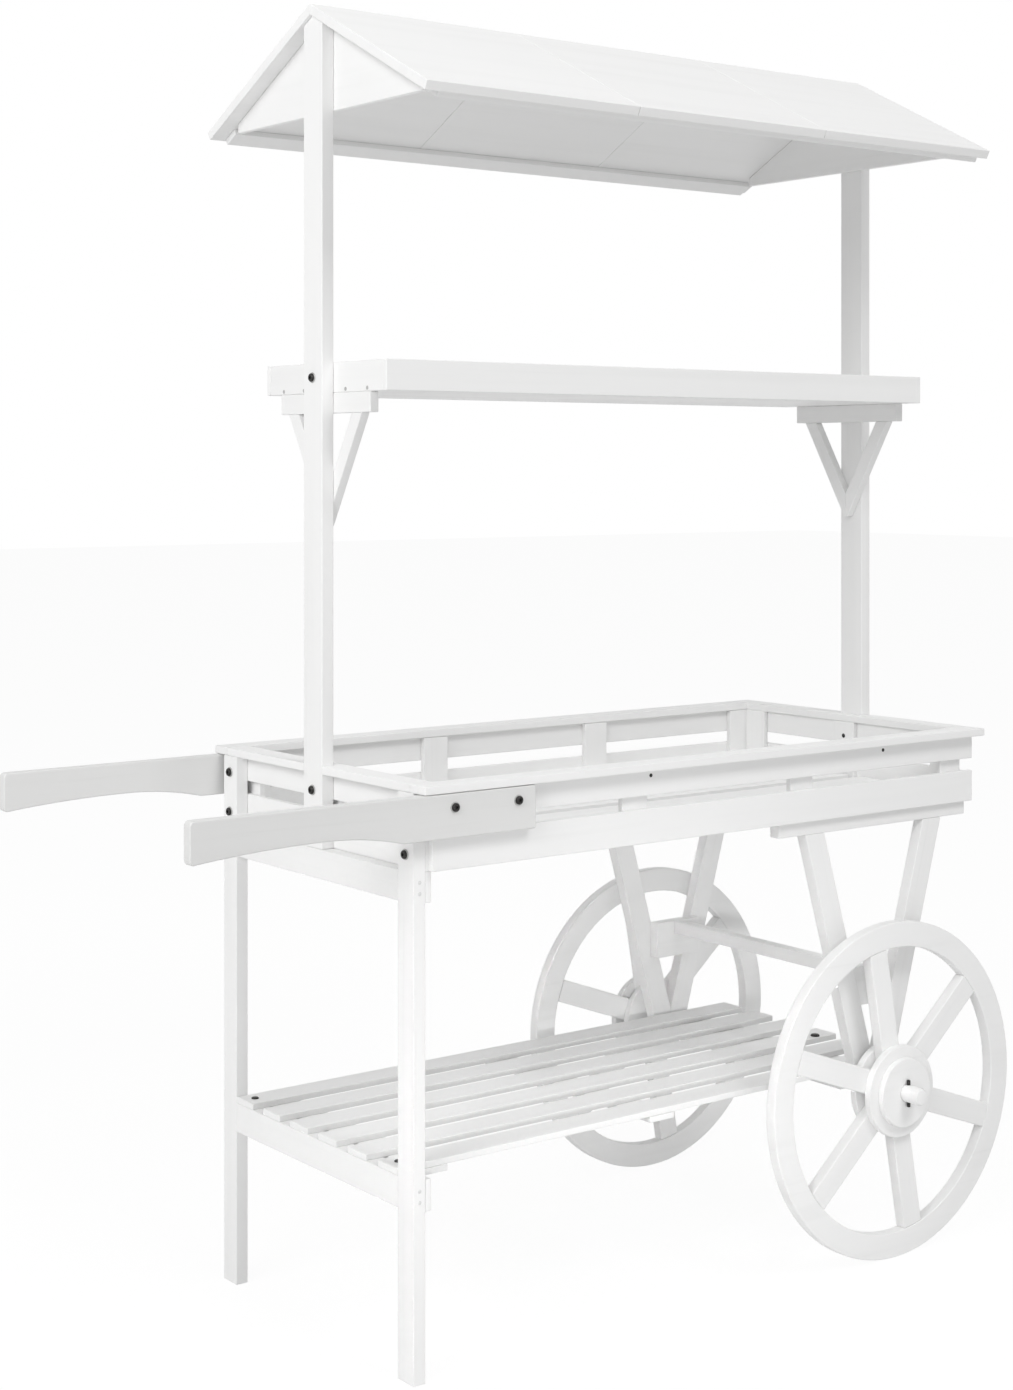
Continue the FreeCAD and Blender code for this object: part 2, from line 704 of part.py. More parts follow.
def middle_shelf():
    """A shallow slatted shelf between the posts, on a cross bearer and two braces at each post."""
    lip_corner = ("frame_thickness", "-shelf_half", "shelf_bottom")
    lips = board_pair("shelf_lip", lip_corner,
                      ("frame_length - 2 * frame_thickness", "board_thickness", "shelf_lip_height"))
    node(lips[0], "shelf_lip_front")
    node(lips[1], "shelf_lip_back")
    outline = rectangle("-lip_inner", "lip_inner", "0", "shelf_lip_height")
    ends = [
        plate(f"shelf_end_{hand}", "YZ", outline, "board_thickness", (x, "0", "shelf_bottom"),
              [("0", "shelf_bolt - shelf_bottom", "bolt_hole")])
        for hand, x in (("left", "frame_thickness"), ("right", "right_inner_end"))
    ]
    group(ends, "shelf_ends")
    middle = (int(SIZES["shelf_slat_count"]) - 1) / 2
    slats = [
        board(f"shelf_slat_{index}",
              ("inner_end", f"({index} - {middle}) * shelf_slat_pitch - slat_width / 2", "shelf_bottom"),
              ("right_inner_end - inner_end", "slat_width", "board_thickness"))
        for index in range(int(SIZES["shelf_slat_count"]))
    ]
    group(slats, "shelf_slats")
    far = "frame_length - frame_thickness - bearer_thickness"
    bearers = [
        board(f"shelf_bearer_{hand}", (x, "-bearer_length / 2", "brace_head"),
              ("bearer_thickness", "bearer_length", "bearer_height"))
        for hand, x in (("left", "frame_thickness"), ("right", far))
    ]
    group(bearers, "shelf_bearers")
    inner_top = "brace_spread - brace_width"
    back = [
        ("0", "-brace_drop"), ("brace_foot_spread", "-brace_drop"), ("brace_spread", "0"), (inner_top, "0"),
        ("0", f"-({inner_top}) / brace_slope"),
    ]
    front = [(f"-({u})", v) for u, v in back]
    braces = [
        plate(f"brace_{hand}_{side}", "YZ", outline, "bearer_thickness", (x, "0", "brace_head"))
        for hand, x in (("left", "frame_thickness"), ("right", far))
        for side, outline in (("front", front), ("back", back))
    ]
    group(braces, "shelf_braces")


# Roof

def roof():
    """Two slopes of three sheets on two gable boards, with a batten under each eave."""
    down = "roof_thickness / roof_stretch"
    inward = "roof_thickness * roof_slope / roof_stretch"
    back = [
        ("0", "0"), ("0", "-roof_thickness * roof_stretch"),
        (f"roof_half_span - {inward}", f"-roof_rise - {down}"), ("roof_half_span", "-roof_rise"),
    ]
    front = [(f"-({u})", v) for u, v in back]
    for side, outline in (("front", front), ("back", back)):
        sheets = [
            plate(f"roof_sheet_{side}_{index}", "YZ", outline, "sheet_length - roof_sheet_joint",
                  (f"{index} * sheet_length + roof_sheet_joint / 2 - roof_overhang", "0", "cart_height"))
            for index in range(int(SIZES["roof_sheet_count"]))
        ]
        group(sheets, f"roof_{side}_sheets")
    shoulder = "gable_height - gable_half_width * roof_slope"
    gable = [
        ("-gable_half_width", "0"), ("gable_half_width", "0"), ("gable_half_width", shoulder),
        ("0", "gable_height"), ("-gable_half_width", shoulder),
    ]
    for hand, x in (("left", "frame_thickness"), ("right", "right_inner_end")):
        board_shape = plate(f"gable_{hand}_board", "YZ", gable, "board_thickness", (x, "0", "gable_bottom"))
        node(board_shape, f"gable_{hand}")
    outer = f"roof_half_span - {inward} - eave_batten_inset / roof_stretch"
    outer_z = f"-roof_rise - {down} + eave_batten_inset * roof_slope / roof_stretch"
    run = "eave_batten_width / roof_stretch"
    climb = "eave_batten_width * roof_slope / roof_stretch"
    batten_in = "board_thickness * roof_slope / roof_stretch"
    batten_down = "board_thickness / roof_stretch"
    back = [
        (outer, outer_z), (f"{outer} - {run}", f"{outer_z} + {climb}"),
        (f"{outer} - {run} - {batten_in}", f"{outer_z} + {climb} - {batten_down}"),
        (f"{outer} - {batten_in}", f"{outer_z} - {batten_down}"),
    ]
    front = [(f"-({u})", v) for u, v in back]
    battens = [
        plate(f"eave_batten_{side}", "YZ", outline, "frame_length - 2 * frame_thickness",
              ("frame_thickness", "0", "cart_height"))
        for side, outline in (("front", front), ("back", back))
    ]
    group(battens, "roof_eave_battens")


# Bolts, screws and nails

bolts, washers, nuts, leg_screws, nail_heads, slat_bolts = [], [], [], [], [], []
INWARD = {"+X": Vector(1, 0, 0), "-X": Vector(-1, 0, 0), "+Y": Vector(0, 1, 0), "-Y": Vector(0, -1, 0),
          "-Z": Vector(0, 0, -1)}


def along(piece, inward, point):
    """A copy of a piece made along +Z, laid along one of the cart's directions from a point."""
    copy = doc.addObject("Part::Compound", f"{piece.Name}_laid")
    copy.Links = [piece]
    copy.Placement = Placement(Vector(), Rotation(Vector(0, 0, 1), INWARD[inward]))
    place(copy, *point)
    return copy


def rod(name, radius, low, length):
    """A round piece along +Z."""
    cylinder = bound(doc.addObject("Part::Cylinder", name), Radius=radius, Height=length)
    return bound(cylinder, **{"Placement.Base.z": low})


def hexagon(name, width, low, height):
    """A hexagonal prism along +Z."""
    prism = doc.addObject("Part::Prism", name)
    prism.Polygon = 6
    bound(prism, Circumradius=f"{width} / sqrt(3)", Height=height)
    return bound(prism, **{"Placement.Base.z": low})


def stud(name, length):
    """A bolt with its shank along +Z, whose washer rests on the plane z = 0, and a hexagonal socket."""
    top = "-washer_thickness - bolt_head_height"
    crown = doc.addObject("Part::Cone", f"{name}_crown")
    bound(crown, Radius1="bolt_crown_radius", Radius2="bolt_head_radius",
          Height="bolt_head_height - bolt_head_rim")
    bound(crown, **{"Placement.Base.z": top})
    rim = rod(f"{name}_rim", "bolt_head_radius", "-washer_thickness - bolt_head_rim", "bolt_head_rim")
    shank = rod(f"{name}_shank", "bolt_size / 2", "-washer_thickness", f"washer_thickness + {length}")
    blank = doc.addObject("Part::MultiFuse", f"{name}_blank")
    blank.Shapes = [crown, rim, shank]
    whole = doc.addObject("Part::Cut", name)
    socket = hexagon(f"{name}_socket", "socket_width", f"{top} - overrun", "socket_depth + overrun")
    whole.Base, whole.Tool = blank, socket
    return whole


def bored(name, blank, bore_radius, low, length):
    """A blank with a bore right through it."""
    hole = rod(f"{name}_bore", bore_radius, f"{low} - overrun", f"{length} + 2 * overrun")
    cut = doc.addObject("Part::Cut", name)
    cut.Base, cut.Tool = blank, hole
    return cut


def washer(name, low):
    """A flat washer round a bolt."""
    ring = rod(f"{name}_disc", "washer_radius", low, "washer_thickness")
    return bored(name, ring, "bolt_hole", low, "washer_thickness")


def through_bolt(name, point, inward, grip):
    """A bolt through a stack of boards, with a washer at each side and a nut at the far one."""
    bolts.append(along(stud(name, f"{grip} + washer_thickness + nut_height + bolt_tip"), inward, point))
    washers.append(along(washer(f"{name}_washer", "-washer_thickness"), inward, point))
    washers.append(along(washer(f"{name}_far_washer", grip), inward, point))
    low = f"{grip} + washer_thickness"
    nut = bored(f"{name}_nut", hexagon(f"{name}_nut_blank", "nut_width", low, "nut_height"),
                "bolt_size / 2 + nut_clearance", low, "nut_height")
    nuts.append(along(nut, inward, point))


def coach_screw(kept, name, point, inward, length):
    """A screw like the bolts, with a washer but no nut."""
    kept.append(along(stud(name, length), inward, point))
    washers.append(along(washer(f"{name}_washer", "-washer_thickness"), inward, point))


def low_head(kept, name, point, inward, radius, height):
    """The low round head of a driven nail or screw on a board's face."""
    kept.append(along(rod(name, radius, f"-({height})", height), inward, point))


def bolted_joints():
    """Bolts through the middle shelf and the handles, and coach screws through the posts and the legs."""
    for hand, x, inward in (("left", "0", "+X"), ("right", "frame_length", "-X")):
        for level, z in (("low", "low_bolt"), ("high", "high_bolt")):
            coach_screw(bolts, f"post_screw_{hand}_{level}", (x, "0", z), inward,
                        "end_grip + post_screw_tip")
        through_bolt(f"shelf_bolt_{hand}", (x, "0", "shelf_bolt"), inward,
                     "frame_thickness + board_thickness")
    for side, y, inward in (("front", "-board_face - handle_thickness", "+Y"),
                            ("back", "board_face + handle_thickness", "-Y")):
        through_bolt(f"handle_bolt_{side}_first", ("handle_first_bolt", y, "handle_bolt"), inward,
                     "handle_thickness + 2 * board_thickness")
        through_bolt(f"handle_bolt_{side}_second", ("handle_second_bolt", y, "handle_bolt"), inward,
                     "handle_thickness + board_thickness")
    for side, y in (("front", "leg_width / 2 - half_width"), ("back", "half_width - leg_width / 2")):
        for level, z in (("low", "low_bolt"), ("high", "high_bolt")):
            coach_screw(leg_screws, f"leg_screw_{side}_{level}", ("0", y, z), "+X",
                        "end_grip - leg_screw_cover")


def driven_heads():
    """Nails in the legs, screws in the tray and shelf boards, and the bolt heads on the lower shelf."""
    for side, sign, inward in (("front", "-", "+Y"), ("back", "", "-Y")):
        for rail, middle in (("apron", "apron_bottom + apron_height / 2"),
                             ("lower_rail", "lower_rail_bottom + lower_rail_height / 2")):
            for level, step in (("low", "- nail_spread / 2"), ("high", "+ nail_spread / 2")):
                low_head(nail_heads, f"nail_{rail}_{side}_{level}",
                         ("frame_thickness / 2", f"{sign}half_width", f"{middle} {step}"), inward,
                         "nail_radius", "nail_head_height")
        for index, x in enumerate(("first_board_screw", "second_board_screw")):
            low_head(nail_heads, f"board_screw_{side}_{index}",
                     (x, f"{sign}(board_face)", "tray_top - board_screw_drop"), inward, "nail_radius",
                     "nail_head_height")
        low_head(slat_bolts, f"slat_bolt_{side}",
                 ("slat_bolt_inset", f"{sign}(lower_field - slat_width / 2)", "slat_top"), "-Z",
                 "slat_bolt_radius", "slat_bolt_height")
    for hand, x, inward in (("left", "frame_thickness", "+X"),
                            ("right", "frame_length - frame_thickness", "-X")):
        for index in (-2, -1, 1, 2):
            low_head(nail_heads, f"shelf_screw_{hand}_{index + 2}",
                     (x, f"{index} * shelf_slat_pitch", "shelf_bottom + board_thickness / 2"), inward,
                     "nail_radius", "nail_head_height")
    low_head(slat_bolts, "slat_bolt_right",
             ("lower_shelf_length - loose_bolt_inset", "-loose_bolt_offset", "slat_top"), "-Z",
             "loose_bolt_radius", "loose_bolt_height")


# The whole cart

legs_and_rails()
posts()
tray_walls()
tray_uprights()
tray_floor()
tray_rim()
handles()
struts()
axle()
spacers()
lower_shelf()
wheel("front", -1)
wheel("back", 1)
middle_shelf()
roof()
bolted_joints()
driven_heads()
for fasteners, label in ((bolts, "bolts"), (washers, "washers"), (nuts, "nuts"), (leg_screws, "leg_screws"),
                         (nail_heads, "nail_heads"), (slat_bolts, "slat_bolts")):
    group(fasteners, label)

doc.recompute()
for item in doc.Objects:
    if {"Invalid", "Error"} & set(item.State):
        raise RuntimeError(f"{item.Label} did not compute: {item.State}")
for pocket, pad in drilled:
    if pocket.Shape.Volume >= pad.Shape.Volume:
        raise RuntimeError(f"{pocket.Label} cuts nothing")
for piece in nodes:
    if piece.Shape.isNull() or not piece.Shape.isValid():
        raise RuntimeError(f"{piece.Label} has no valid shape")
os.makedirs("parts", exist_ok=True)
for piece in nodes:
    piece.Shape.exportStep(f"parts/{piece.Label}.step")
print(len(nodes), "nodes,", sum(len(piece.Shape.Solids) for piece in nodes), "solids")
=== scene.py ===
"""A white painted display cart on two spoked wheels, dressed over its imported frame."""

import logging
import math
import random
from dataclasses import dataclass, field
from enum import Enum
from typing import Optional, Sequence, Union

import bmesh
import bpy
from mathutils import Matrix, Vector


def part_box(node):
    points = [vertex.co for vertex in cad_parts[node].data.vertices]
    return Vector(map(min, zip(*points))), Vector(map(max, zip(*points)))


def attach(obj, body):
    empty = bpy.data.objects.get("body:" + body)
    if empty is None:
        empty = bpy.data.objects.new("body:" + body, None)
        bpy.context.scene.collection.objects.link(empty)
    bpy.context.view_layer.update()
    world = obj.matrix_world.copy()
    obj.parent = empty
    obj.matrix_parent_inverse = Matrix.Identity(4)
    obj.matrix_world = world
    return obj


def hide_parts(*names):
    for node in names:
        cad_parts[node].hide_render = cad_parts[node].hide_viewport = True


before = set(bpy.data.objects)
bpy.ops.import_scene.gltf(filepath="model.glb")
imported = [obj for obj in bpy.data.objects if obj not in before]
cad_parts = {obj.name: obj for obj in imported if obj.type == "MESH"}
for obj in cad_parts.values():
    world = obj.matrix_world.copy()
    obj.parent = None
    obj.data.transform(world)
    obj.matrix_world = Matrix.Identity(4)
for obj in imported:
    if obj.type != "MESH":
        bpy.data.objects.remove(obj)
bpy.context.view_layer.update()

log = logging.getLogger("display_cart")

# How far the middle of a rounded corner stands from either face, for a radius of one
CORNER_MIDDLE = 0.29
ORIGIN = (0.0, 0.0, 0.0)

Point = tuple[float, float]
Triple = tuple[float, float, float]
Colour = tuple[float, float, float, float]
Number = Union[int, float]


class Axis(Enum):
    """The cart's three directions."""

    X = 0
    Y = 1
    Z = 2

    @property
    def others(self) -> tuple[int, int]:
        """The two directions that a plate square to this one is drawn in."""
        return {Axis.X: (1, 2), Axis.Y: (0, 2), Axis.Z: (0, 1)}[self]

    @property
    def unit(self) -> Vector:
        """A vector of length one along this direction."""
        return Vector([1.0 if index == self.value else 0.0 for index in range(3)])


class Side(Enum):
    """The front of the cart faces -Y and its back faces +Y."""

    FRONT = ("front", -1)
    BACK = ("back", 1)

    @property
    def word(self) -> str:
        """The word that names this side's nodes."""
        return self.value[0]

    @property
    def sign(self) -> int:
        """The sign of y on this side."""
        return self.value[1]

    @property
    def inward(self) -> Vector:
        """The direction into the cart."""
        return Axis.Y.unit * -self.sign

    def outer(self, low: Vector, high: Vector) -> float:
        """The outer face, along Y, of a piece with these corners."""
        return low.y if self is Side.FRONT else high.y


class End(Enum):
    """The handles are at the left end, and the wheels stand near the right one."""

    LEFT = ("left", -1)
    RIGHT = ("right", 1)

    @property
    def word(self) -> str:
        """The word that names this end's nodes."""
        return self.value[0]

    @property
    def inward(self) -> Vector:
        """The direction into the cart."""
        return Axis.X.unit * -self.value[1]

    def outer(self, low: Vector, high: Vector) -> float:
        """The outer face, along X, of a piece with these corners."""
        return low.x if self is End.LEFT else high.x


class Body(Enum):
    """The bodies that pieces ride on."""

    CART = "cart"
    FRONT_WHEEL = "front_wheel"
    BACK_WHEEL = "back_wheel"


# Shader building

class Socket:
    """An output of a shader node, on which Python's operators add Math nodes."""

    def __init__(self, graph: "Graph", output: Optional[bpy.types.NodeSocket]) -> None:
        """Wrap one output.

        Args:
            graph: The graph that the node belongs to.
            output: The output to wrap, or none for a node that has no outputs.
        """
        self.graph = graph
        self.output = output

    def _maths(self, operation: str, first: "Term", second: "Term") -> "Socket":
        """Add one Math node and return what it gives."""
        return self.graph.node("ShaderNodeMath", {"operation": operation}, {0: first, 1: second})

    def __add__(self, other: "Term") -> "Socket":
        """This value plus another."""
        return self._maths("ADD", self, other)

    def __radd__(self, other: "Term") -> "Socket":
        """Another value plus this one."""
        return self._maths("ADD", other, self)

    def __sub__(self, other: "Term") -> "Socket":
        """This value less another."""
        return self._maths("SUBTRACT", self, other)

    def __rsub__(self, other: "Term") -> "Socket":
        """Another value less this one."""
        return self._maths("SUBTRACT", other, self)

    def __mul__(self, other: "Term") -> "Socket":
        """This value times another."""
        return self._maths("MULTIPLY", self, other)

    def __rmul__(self, other: "Term") -> "Socket":
        """Another value times this one."""
        return self._maths("MULTIPLY", other, self)

    def between(self, low: Number, high: Number) -> "Socket":
        """Nought up to the low value, one from the high value, and a smooth rise between them.

        Args:
            low: Where the rise starts.
            high: Where the rise ends.

        Returns:
            The risen value.
        """
        return self.graph.node(
            "ShaderNodeMapRange", {"interpolation_type": "SMOOTHSTEP", "clamp": True},
            {"Value": self, "From Min": low, "From Max": high}, "Result")


Term = Union[Socket, Number]


@dataclass(frozen=True)
class Speckle:
    """A pattern of smooth noise: its scale along three directions, its detail and its roughness."""

    scale: Triple
    detail: float
    roughness: float


class Graph:
    """The node tree of one material or of the world, filled through a single method."""

    def __init__(self, owner: Union[bpy.types.Material, bpy.types.World]) -> None:
        """Start an empty tree.

        Args:
            owner: The material or world that the tree belongs to.
        """
        owner.use_nodes = True
        self.owner = owner
        self.tree = owner.node_tree
        self.tree.nodes.clear()

    def node(self, kind: str, settings: Optional[dict] = None, sockets: Optional[dict] = None,
             output: Union[int, str] = 0) -> Socket:
        """Add a node, set it up and feed its sockets.

        Args:
            kind: The node's type.
            settings: Properties of the node, set first.
            sockets: Values or links for its inputs, by name or number.
            output: Which output to return.

        Returns:
            The chosen output.
        """
        added = self.tree.nodes.new(kind)
        for name, setting in (settings or {}).items():
            setattr(added, name, setting)
        for name, given in (sockets or {}).items():
            if isinstance(given, Socket):
                self.tree.links.new(given.output, added.inputs[name])
            else:
                added.inputs[name].default_value = given
        outputs = added.outputs
        return Socket(self, outputs[output] if len(outputs) else None)

    def attribute(self, name: str, output: str) -> Socket:
        """Read a value that the mesh carries."""
        return self.node("ShaderNodeAttribute", {"attribute_name": name}, output=output)

    def speckled(self, vector: Socket, speckle: Speckle) -> Socket:
        """Smooth noise from nought to one.

        Args:
            vector: Where on the piece it is read.
            speckle: The pattern.

        Returns:
            The noise.
        """
        place = self.node("ShaderNodeMapping", {"vector_type": "POINT"},
                          {"Vector": vector, "Scale": speckle.scale})
        return self.node("ShaderNodeTexNoise", {"normalize": True}, {
            "Vector": place, "Scale": 1.0, "Detail": speckle.detail, "Roughness": speckle.roughness})

    def blended(self, factor: Term, first: Union[Socket, Colour], second: Union[Socket, Colour]) -> Socket:
        """Mix two colours by a factor."""
        # A Mix node's sockets 6 and 7 take its colours, and its output 2 gives the mixed one
        return self.node("ShaderNodeMix", {"data_type": "RGBA", "clamp_factor": True},
                         {0: factor, 6: first, 7: second}, 2)

    def bump(self, height: Socket, distance: float, strength: float) -> Socket:
        """A normal bent by a height."""
        return self.node("ShaderNodeBump", {}, {
            "Height": height, "Distance": distance, "Strength": strength})

    def finish(self, shader: Socket) -> Union[bpy.types.Material, bpy.types.World]:
        """Join a shader to the output.

        Args:
            shader: The shader.

        Returns:
            The material or world.
        """
        kind = "World" if isinstance(self.owner, bpy.types.World) else "Material"
        self.node(f"ShaderNodeOutput{kind}", {}, {"Surface": shader})
        return self.owner


@dataclass(frozen=True)
class PaintedWood:
    """Satin white paint, brushed on planed boards whose grain shows a little through it."""

    name: str = "satin_white_paint"
    slot: str = "white_wood"
    paint: Colour = (0.905, 0.905, 0.902, 1.0)
    shade: Colour = (0.80, 0.80, 0.795, 1.0)
    # Painted shade: the colour that faces inside narrow gaps darken towards, in place of the shade that
    # falls there, varied by the dapple
    dust: Colour = (0.43, 0.425, 0.415, 1.0)
    dust_base: float = 0.208
    dust_dapple: float = 0.104
    pores: Speckle = Speckle((2.2, 95.0, 95.0), 5.0, 0.62)
    rings: Speckle = Speckle((0.9, 24.0, 24.0), 3.0, 0.55)
    strokes: Speckle = Speckle((9.0, 620.0, 620.0), 2.0, 0.6)
    dapple: Speckle = Speckle((3.2, 3.2, 3.2), 3.0, 0.5)
    pore_limits: Point = (0.56, 0.74)
    ring_limits: Point = (0.45, 0.72)
    board_tone: float = 0.20
    ring_tone: float = 0.24
    pore_tone: float = 0.22
    dapple_tone: float = 0.14
    roughness: float = 0.32
    dapple_roughness: float = 0.16
    stroke_roughness: float = 0.08
    stroke_height: float = 0.35
    pore_height: float = 0.5
    ring_depth: float = 0.15
    relief: float = 0.00022
    relief_strength: float = 0.55
    coat: float = 0.08
    coat_roughness: float = 0.32
    refraction: float = 1.46

    def material(self) -> bpy.types.Material:
        """Build the paint.

        Returns:
            The material, which follows each board's own grain.
        """
        graph = Graph(bpy.data.materials.new(self.name))
        grain = graph.attribute("grain", "Vector")
        tone = graph.attribute("tone", "Fac")
        pores = graph.speckled(grain, self.pores)
        rings = graph.speckled(grain, self.rings)
        strokes = graph.speckled(grain, self.strokes)
        dapple = graph.speckled(grain, self.dapple)
        open_pores = pores.between(*self.pore_limits)
        dark_rings = rings.between(*self.ring_limits)
        amount = (open_pores * self.pore_tone + dark_rings * self.ring_tone + tone * self.board_tone
                  + dapple * self.dapple_tone)
        # Painted shade: faces inside narrow gaps are darkened towards the gap colour, standing in for the
        # shade in the gaps
        dusty = graph.attribute("dusty", "Fac") * (dapple * self.dust_dapple + self.dust_base)
        colour = graph.blended(dusty, graph.blended(amount, self.paint, self.shade), self.dust)
        roughness = dapple * self.dapple_roughness + strokes * self.stroke_roughness + self.roughness
        height = strokes * self.stroke_height + pores * self.pore_height - dark_rings * self.ring_depth
        shader = graph.node("ShaderNodeBsdfPrincipled", {}, {
            "Base Color": colour,
            "Roughness": roughness,
            "Normal": graph.bump(height, self.relief, self.relief_strength),
            "Coat Weight": self.coat,
            "Coat Roughness": self.coat_roughness,
            "IOR": self.refraction,
        })
        return graph.finish(shader)


@dataclass(frozen=True)
class Steel:
    """Steel of bolts, nuts and nail heads, rubbed brighter in places and painted over in others."""

    name: str = "blackened_steel"
    slot: str = "dark_steel"
    dark: Colour = (0.035, 0.034, 0.033, 1.0)
    rubbed: Colour = (0.16, 0.155, 0.15, 1.0)
    paint: Colour = (0.80, 0.80, 0.795, 1.0)
    metallic: float = 0.85
    speckles: Speckle = Speckle((420.0, 420.0, 420.0), 4.0, 0.6)
    scratches: Speckle = Speckle((90.0, 900.0, 900.0), 2.0, 0.6)
    speckle_limits: Point = (0.5, 0.72)
    scratch_limits: Point = (0.58, 0.7)
    speckle_wear: float = 0.5
    scratch_wear: float = 0.3
    roughness: float = 0.28
    speckle_roughness: float = 0.22
    relief: float = 0.00006
    relief_strength: float = 0.6

    def material(self) -> bpy.types.Material:
        """Build the steel.

        Returns:
            The material.
        """
        graph = Graph(bpy.data.materials.new(self.name))
        place = graph.attribute("grain", "Vector")
        painted = graph.attribute("painted", "Fac")
        speckles = graph.speckled(place, self.speckles)
        scratches = graph.speckled(place, self.scratches)
        worn = (speckles.between(*self.speckle_limits) * self.speckle_wear
                + scratches.between(*self.scratch_limits) * self.scratch_wear)
        bare = graph.blended(worn, self.dark, self.rubbed)
        shader = graph.node("ShaderNodeBsdfPrincipled", {}, {
            "Base Color": graph.blended(painted, bare, self.paint),
            "Metallic": (1.0 - painted) * self.metallic,
            "Roughness": speckles * self.speckle_roughness + self.roughness,
            "Normal": graph.bump(speckles, self.relief, self.relief_strength),
        })
        return graph.finish(shader)


Finish = Union[PaintedWood, Steel]


class Workshop:
    """Holds the materials and hands out finished pieces."""

    def __init__(self) -> None:
        """Start with no materials made."""
        self.materials: dict[str, bpy.types.Material] = {}
        self.count = 0

    def dress(self, piece: bpy.types.Object, finish: Finish) -> None:
        """Give a piece its material.

        Args:
            piece: The piece to dress.
            finish: The finish that it gets.
        """
        if finish.name not in self.materials:
            self.materials[finish.name] = finish.material()
        piece.data.materials.clear()
        piece.data.materials.append(self.materials[finish.name])

    def hand_over(self, joinery: "Joinery", body: Body, finish: Finish, *nodes: str) -> None:
        """Turn gathered boards into one piece that stands for CAD nodes.

        Args:
            joinery: The boards.
            body: The body that the piece rides on.
            finish: The finish that it gets.
            nodes: The nodes that it stands for.
        """
        piece = joinery.as_object()
        self.dress(piece, finish)
        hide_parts(*nodes)
        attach(piece, body.value)
        self.count += 1
        log.info("%s: %d boards, %d faces", piece.name, joinery.made, len(piece.data.polygons))


